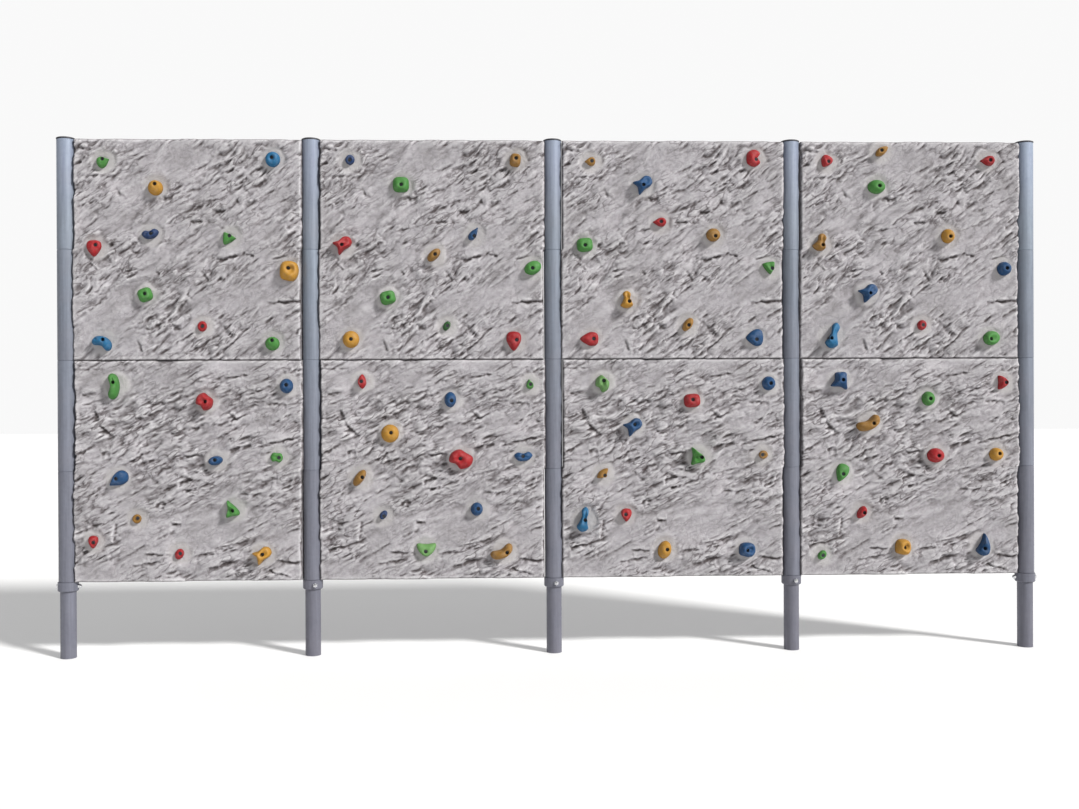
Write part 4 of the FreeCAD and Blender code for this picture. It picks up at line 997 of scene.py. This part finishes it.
def resin_material(name):
    """Sand-filled polyester: matt, gritty, coloured by the mesh's own attribute, painted shade
    included.
    """
    material, tree, shader = new_material(f"sand_resin_{name}", {"Roughness": 0.62,
                                                                 "Specular IOR Level": 0.35})
    point = object_point(tree)
    paint_and_shade = add(tree, "ShaderNodeAttribute", attribute_name="paint_and_shade").outputs["Color"]
    wear_and_highlight = add(tree, NOISE, {"Vector": point, "Scale": per(22), "Detail": 4.0, "Roughness": 0.6})
    wear_and_highlight = add(tree, RAMP, {"Fac": wear_and_highlight}, ((0.45, "#000000"), (0.80, "#5A5A5A")))
    speck = add(tree, NOISE, {"Vector": point, "Scale": per(1.6), "Detail": 2.0,
                              "Roughness": 0.5})
    speck = add(tree, RAMP, {"Fac": speck}, ((0.35, "#4A4A4A"), (0.65, "#B5B5B5")))
    colour = paint_and_shade
    for share, tint, mode in ((wear_and_highlight, "#CFC9C4", "MIX"), (0.28, speck, "OVERLAY")):
        colour = add(tree, MIX, {0: share, 6: colour, 7: tint}, data_type="RGBA",
                     blend_type=mode).outputs[2]
    grit = add(tree, NOISE, {"Vector": point, "Scale": per(1.3), "Detail": 3.0,
                             "Roughness": 0.7})
    grit = add(tree, "ShaderNodeBump", {"Height": grit, "Strength": 0.6, "Distance": 0.6 * MM})
    feed(tree, shader, {"Base Color": colour, "Normal": grit})
    return material


RESINS = {name: resin_material(name) for name in ("red", "blue", "green", "yellow")}
print("resins:", ", ".join(RESINS))


# %% Cast the holds
def hold_places():
    """Every hold with its slab and the mm place of its bolt on the face of the wall."""
    for (row, bay), holds in HOLDS.items():
        for hold in holds:
            across, up = socket_on_slab(row, bay, hold[0])
            yield hold, np.array([POST_X[bay - 1] + across, FACE_Y, ROW_FOOT[row] + up])


def cast_holds(group, family):
    """All holds of one colour group and family in one piece."""
    points = []
    faces = []
    paints_and_shade = []
    for seed, (hold, place) in enumerate(hold_places()):
        colour_group, hex_colour = PAINTS[hold[2]]
        if colour_group != group or family_of(hold[1]) != family:
            continue
        own_points, own_faces = hold_mesh(hold, seed)
        start = sum(len(p) for p in points)
        points.append(own_points + place)
        faces += [[start + index for index in face] for face in own_faces]
        shade = 0.92 + 0.16 * float(cell_value(seed, 2, 6))
        # Each ring is darkened in the recess and at the foot: grime and painted shade.
        grime_and_shade = np.repeat(RING_GRIME_AND_SHADE, RING_POINTS)[:, None]
        colour = np.array(linear(hex_colour)[:3])[None, :] * shade * grime_and_shade
        paints_and_shade.append(np.hstack([colour, np.ones_like(grime_and_shade)]))
    piece = mesh_piece(f"resin_{group}_{family}", np.concatenate(points), faces, RESINS[group])
    layer = piece.data.attributes.new("paint_and_shade", "FLOAT_COLOR", "POINT")
    layer.data.foreach_set("color", np.concatenate(paints_and_shade).astype(np.float32).ravel())
    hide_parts(f"holds_{group}_{family}")


for group in RESINS:
    for family in FAMILIES:
        cast_holds(group, family)
print("holds cast after", round(time.time() - started, 1), "s")


# %% [markdown]
# ## Steel
# The tubes are hot-dip galvanised: the zinc freezes in flat crystals, the spangle, and
# weathers to a mottled blue-grey with pale streaks down the tube.  Each length of tube comes
# from its own dip, so neighbours on a post differ a little in grey, and the posts are paler
# towards the top.

# %% Galvanised steel
PALING_HEIGHT = 2.56


def galvanised_material():
    """Hot-dip zinc, weathered: mottled crystals and streaks along the tube."""
    material, tree, shader = new_material("galvanised_steel", {"Metallic": 0.15,
                                                               "Roughness": 0.5})
    point = object_point(tree)
    place = add(tree, "ShaderNodeSeparateXYZ", {"Vector": point}).outputs

    # The ground tone pales with height.
    level = add(tree, MATH, {0: place["Z"], 1: PALING_HEIGHT}, operation="DIVIDE")
    colour = add(tree, RAMP, {"Fac": level}, ((0.0, "#8A8A96"), (0.45, "#8E919D"),
                                              (0.72, "#99A2AF"), (1.0, "#B5BFCB")))

    # Streaks run down the tube; the spangle is about a thumbnail wide.
    streaks = add(tree, NOISE, {"Vector": object_point(tree, (1, 1, 0.06)), "Scale": per(12),
                                "Detail": 4.0, "Roughness": 0.6})
    streaks = add(tree, RAMP, {"Fac": streaks}, ((0.30, "#5E5E5E"), (0.75, "#A2A2A2")))
    crystals = add(tree, VORONOI, {"Vector": point, "Scale": per(14)}).outputs["Color"]
    crystals = add(tree, "ShaderNodeSeparateColor", {"Color": crystals}).outputs
    spangle = add(tree, RAMP, {"Fac": crystals[0]}, ((0.0, "#6E7684"), (1.0, "#A5AAB2")))

    # One random grey for each sleeve length on each post.
    post = add(tree, MATH, {0: place["X"], 1: PITCH * MM}, operation="DIVIDE")
    post = add(tree, MATH, {0: post}, operation="ROUND")
    length = add(tree, MATH, {0: place["Z"], 1: ROW_FOOT["lower"] * MM}, operation="SUBTRACT")
    length = add(tree, MATH, {0: length, 1: ROW_HEIGHT * MM / 2}, operation="DIVIDE")
    length = add(tree, MATH, {0: length}, operation="FLOOR")
    batch = add(tree, "ShaderNodeCombineXYZ", {"X": post, "Y": length})
    dip = add(tree, "ShaderNodeTexWhiteNoise", {"Vector": batch}).outputs["Value"]
    dip = add(tree, RAMP, {"Fac": dip}, ((0.0, "#6C6A70"), (1.0, "#90959A")))

    clouds = add(tree, NOISE, {"Vector": point, "Scale": per(120), "Detail": 3.0,
                               "Roughness": 0.55})
    clouds = add(tree, RAMP, {"Fac": clouds}, ((0.45, "#000000"), (0.75, "#707070")))
    for share, tint, mode in ((0.45, streaks, "OVERLAY"), (0.12, spangle, "OVERLAY"),
                              (0.5, dip, "OVERLAY"), (clouds, "#7E7A82", "MIX")):
        colour = add(tree, MIX, {0: share, 6: colour, 7: tint}, data_type="RGBA",
                     blend_type=mode).outputs[2]

    rough = add(tree, "ShaderNodeMapRange", {"Value": crystals[1], "To Min": 0.42,
                                             "To Max": 0.60})
    ripple = add(tree, NOISE, {"Vector": point, "Scale": per(5), "Detail": 3.0,
                               "Roughness": 0.55})
    ripple = add(tree, "ShaderNodeBump", {"Height": ripple, "Strength": 0.25,
                                          "Distance": 0.5 * MM})
    feed(tree, shader, {"Base Color": colour, "Roughness": rough, "Normal": ripple})
    return material


GALVANISED = galvanised_material()
print("galvanised steel has", len(GALVANISED.node_tree.nodes), "nodes")


# %% [markdown]
# The small steel parts differ in finish, not in kind, so one function serves them all.  The
# collar bolts and dome nuts are polished stainless steel, mirror-like and the brightest spots
# on the wall.  The hold screws are zinc-plated and dulled by weather, and their colour is
# darkened further as painted shade for the recesses they sit in, so they look nearly black.
# The lids carry a weathered dark coating, satin and a bit blotchy.
# The mats inside the slabs are plain bar with a brown film of rust, and the cast-in sockets
# have the yellowish shine of passivated plating.

# %% Other metals
def plain_metal(name, hex_colour, metallic, roughness, grain_mm, depth_mm):
    """A metal or painted metal with a little mottling and grain."""
    material, tree, shader = new_material(name, {"Metallic": metallic, "Roughness": roughness})
    point = object_point(tree)
    mottle = add(tree, NOISE, {"Vector": point, "Scale": per(grain_mm * 6), "Detail": 4.0,
                               "Roughness": 0.55})
    mottle = add(tree, RAMP, {"Fac": mottle}, ((0.3, "#3C3C3C"), (0.7, "#C8C8C8")))
    colour = add(tree, MIX, {0: 0.35, 6: hex_colour, 7: mottle}, data_type="RGBA",
                 blend_type="SOFT_LIGHT").outputs[2]
    grain = add(tree, NOISE, {"Vector": point, "Scale": per(grain_mm), "Detail": 3.0,
                              "Roughness": 0.55})
    grain = add(tree, "ShaderNodeBump", {"Height": grain, "Strength": 0.4,
                                         "Distance": depth_mm * MM})
    feed(tree, shader, {"Base Color": colour, "Normal": grain})
    return material


STAINLESS = plain_metal("polished_stainless", "#D9DADC", 1.0, 0.18, 3.0, 0.1)
# The screw colour is darkened as painted shade for the recesses the screws sit in.
SHADE_DARKENED_SCREW = plain_metal("dull_zinc_screw_darkened_for_shade", "#55565A", 1.0, 0.45, 3.0, 0.1)
CAP_PAINT = plain_metal("weathered_cap", "#4A4A4F", 0.3, 0.5, 4.0, 0.3)
BARE_BAR = plain_metal("reinforcing_bar", "#5B463C", 0.6, 0.7, 3.0, 0.4)
PLATED = plain_metal("zinc_plated_socket", "#B9B29A", 1.0, 0.35, 3.0, 0.1)
# The first start of a name that fits decides the finish.
FINISHES = {"post_cap": CAP_PAINT, "post_": GALVANISED, "stop_collar": GALVANISED,
            "hinge_sleeve": GALVANISED, "spacer_sleeve": GALVANISED, "collar_": STAINLESS,
            "reinforcement_mesh": BARE_BAR, "hold_sockets": PLATED}
finished = 0
for name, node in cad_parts.items():
    finish = next((FINISHES[start] for start in FINISHES if name.startswith(start)), None)
    if finish:
        node.data.materials.clear()
        node.data.materials.append(finish)
        finished += 1
print("steel pieces finished:", finished)

# %% [markdown]
# ## Bolts
# Eighty-eight equal socket-head screws hold the holds.  This is work for Geometry Nodes: one
# screw is built from the named sizes and set on every bolt place, then made real.

# %% Screws by geometry nodes
SCREW_SIZES = {"Head Radius": 8.0, "Head Length": 10.0, "Key Radius": 4.6, "Key Length": 5.0,
               "Shank Radius": 5.0, "Shank Length": 54.0}
SCREW_SIDES = {"Head": 32, "Key": 6, "Shank": 16}


def screw_tree():
    """A node tree that sets a socket-head screw on each point, its axis along Y."""
    tree = bpy.data.node_groups.new("socket_head_screws", "GeometryNodeTree")
    sockets = tree.interface
    sockets.new_socket("Geometry", in_out="INPUT", socket_type="NodeSocketGeometry")
    for name, value in SCREW_SIZES.items():
        socket = sockets.new_socket(name, in_out="INPUT", socket_type="NodeSocketFloat")
        socket.default_value = value * MM
    sockets.new_socket("Material", in_out="INPUT", socket_type="NodeSocketMaterial")
    sockets.new_socket("Geometry", in_out="OUTPUT", socket_type="NodeSocketGeometry")
    given = add(tree, "NodeGroupInput").outputs
    head, key, shank = (
        add(tree, "GeometryNodeMeshCylinder", {"Radius": given[f"{part} Radius"],
                                               "Depth": given[f"{part} Length"],
                                               "Vertices": sides})
        for part, sides in SCREW_SIDES.items())

    def lifted(mesh, distance):
        offset = add(tree, "ShaderNodeCombineXYZ", {"Z": distance})
        return add(tree, "GeometryNodeTransform", {"Geometry": mesh, "Translation": offset})

    # The key's hollow ends just above the head's top, so that the cut is clean.
    half_head = add(tree, MATH, {0: given["Head Length"], 1: 0.5}, operation="MULTIPLY")
    half_key = add(tree, MATH, {0: given["Key Length"], 1: 0.48}, operation="MULTIPLY")
    top = add(tree, MATH, {0: half_head, 1: half_key}, operation="SUBTRACT")
    drilled = add(tree, "GeometryNodeMeshBoolean", {"Mesh 1": head, "Mesh 2": lifted(key, top)},
                  operation="DIFFERENCE")
    drop = add(tree, MATH, {0: given["Head Length"], 1: given["Shank Length"]}, operation="ADD")
    drop = add(tree, MATH, {0: drop, 1: -0.499}, operation="MULTIPLY")
    screw = add(tree, "GeometryNodeJoinGeometry")
    for part in (drilled, lifted(shank, drop)):
        feed(tree, screw, {0: part})
    laid = add(tree, "GeometryNodeTransform", {"Geometry": screw,
                                               "Rotation": (math.pi / 2, 0, 0)})
    spread = add(tree, "GeometryNodeInstanceOnPoints", {"Points": given["Geometry"],
                                                        "Instance": laid})
    real = add(tree, "GeometryNodeRealizeInstances", {"Geometry": spread})
    finish = add(tree, "GeometryNodeSetMaterial", {"Geometry": real,
                                                   "Material": given["Material"]})
    add(tree, "NodeGroupOutput", {"Geometry": finish})
    return tree


def made_real(piece, name):
    """Turn a piece with live geometry nodes into a plain mesh piece."""
    bpy.context.view_layer.update()
    evaluated = piece.evaluated_get(bpy.context.evaluated_depsgraph_get())
    mesh = bpy.data.meshes.new_from_object(evaluated)
    mesh.name = name
    plain = bpy.data.objects.new(name, mesh)
    bpy.context.scene.collection.objects.link(plain)
    bpy.data.objects.remove(piece)
    return plain


def set_screws():
    """One screw on each bolt place, as one plain mesh."""
    middle = SEAT_HEIGHT + SCREW_SIZES["Head Length"] / 2
    spots = [tuple((place - (0, middle, 0)) * MM) for _, place in hold_places()]
    mesh = bpy.data.meshes.new("screw_places")
    mesh.from_pydata(spots, [], [])
    carrier = bpy.data.objects.new("screw_places", mesh)
    bpy.context.scene.collection.objects.link(carrier)
    modifier = carrier.modifiers.new("screws", "NODES")
    modifier.node_group = screw_tree()
    for item in modifier.node_group.interface.items_tree:
        if item.name == "Material":
            modifier[item.identifier] = SHADE_DARKENED_SCREW
    screws = made_real(carrier, "hold_screws")
    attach(screws, "wall")
    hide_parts("hold_bolts")
    return screws


screws = set_screws()
print("screw faces", len(screws.data.polygons))

# %% [markdown]
# ## Stage, light and camera
# A pale floor, one broad sun from the upper right, and a white sky that is dimmer in front of
# the wall, so that the sun models the relief.  The camera stands about five and a half metres
# back at the height of a child's head, nearly square to the wall.

# %% Stage
FLOOR_HALF = 40.0


def pale_floor():
    """A plain pale floor, not part of the wall."""
    mesh = bpy.data.meshes.new("floor")
    corners = [(x * FLOOR_HALF, y * FLOOR_HALF, 0)
               for x, y in ((-1, -1), (1, -1), (1, 1), (-1, 1))]
    mesh.from_pydata(corners, [], [(0, 1, 2, 3)])
    mesh.materials.append(new_material("studio_floor", {"Roughness": 0.9,
                                                        "Base Color": "#E4E4E4"})[0])
    floor = bpy.data.objects.new("floor", mesh)
    bpy.context.scene.collection.objects.link(floor)


def sky(front, back):
    """A white sky whose strength goes from front to back along the wall's normal."""
    world = bpy.data.worlds.new("soft_studio")
    world.use_nodes = True
    tree = world.node_tree
    way = add(tree, "ShaderNodeTexCoord").outputs["Generated"]
    depth = add(tree, "ShaderNodeSeparateXYZ", {"Vector": way}).outputs["Y"]
    strength = add(tree, "ShaderNodeMapRange", {"Value": depth, "From Min": -0.2, "From Max": 0.7,
                                                "To Min": front, "To Max": back})
    feed(tree, tree.nodes["Background"], {"Color": "#FFFFFF", "Strength": strength})
    bpy.context.scene.world = world


def broad_sun(place, aim, strength, spread, colour):
    """A sun that shines from place to aim; a wide spread softens its shadows."""
    data = bpy.data.lights.new("key", "SUN")
    data.energy = strength
    data.color = linear(colour)[:3]
    data.angle = math.radians(spread)
    light = bpy.data.objects.new("key", data)
    bpy.context.scene.collection.objects.link(light)
    light.location = place
    light.rotation_euler = (Vector(aim) - Vector(place)).to_track_quat("-Z", "Y").to_euler()
    return light


pale_floor()
sky(front=0.42, back=0.95)
key = broad_sun((5.6, -4.5, 6.5), (0, 0, 1.3), strength=4.5, spread=9, colour="#FFFEFC")
print("sun at", tuple(round(value, 2) for value in key.location))


# %% Camera
def set_camera():
    """The viewing angle: frontal, a hair to the left of the middle, level."""
    data = bpy.data.cameras.new("camera")
    data.sensor_width = 36.0
    data.lens = 36.7
    camera = bpy.data.objects.new("camera", data)
    bpy.context.scene.collection.objects.link(camera)
    yaw, tilt, roll = -0.0354, -0.0028, 0.0042
    turn = (Matrix.Rotation(yaw, 4, "Z") @ Matrix.Rotation(math.pi / 2 + tilt, 4, "X")
            @ Matrix.Rotation(-roll, 4, "Z"))
    camera.matrix_world = Matrix.Translation((-0.264, -5.507, 1.255)) @ turn
    bpy.context.scene.camera = camera
    return camera


camera = set_camera()
bpy.context.scene.view_settings.view_transform = "Standard"
print("camera lens", camera.data.lens, "mm")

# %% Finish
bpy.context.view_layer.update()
print("built in", round(time.time() - started, 1), "s")
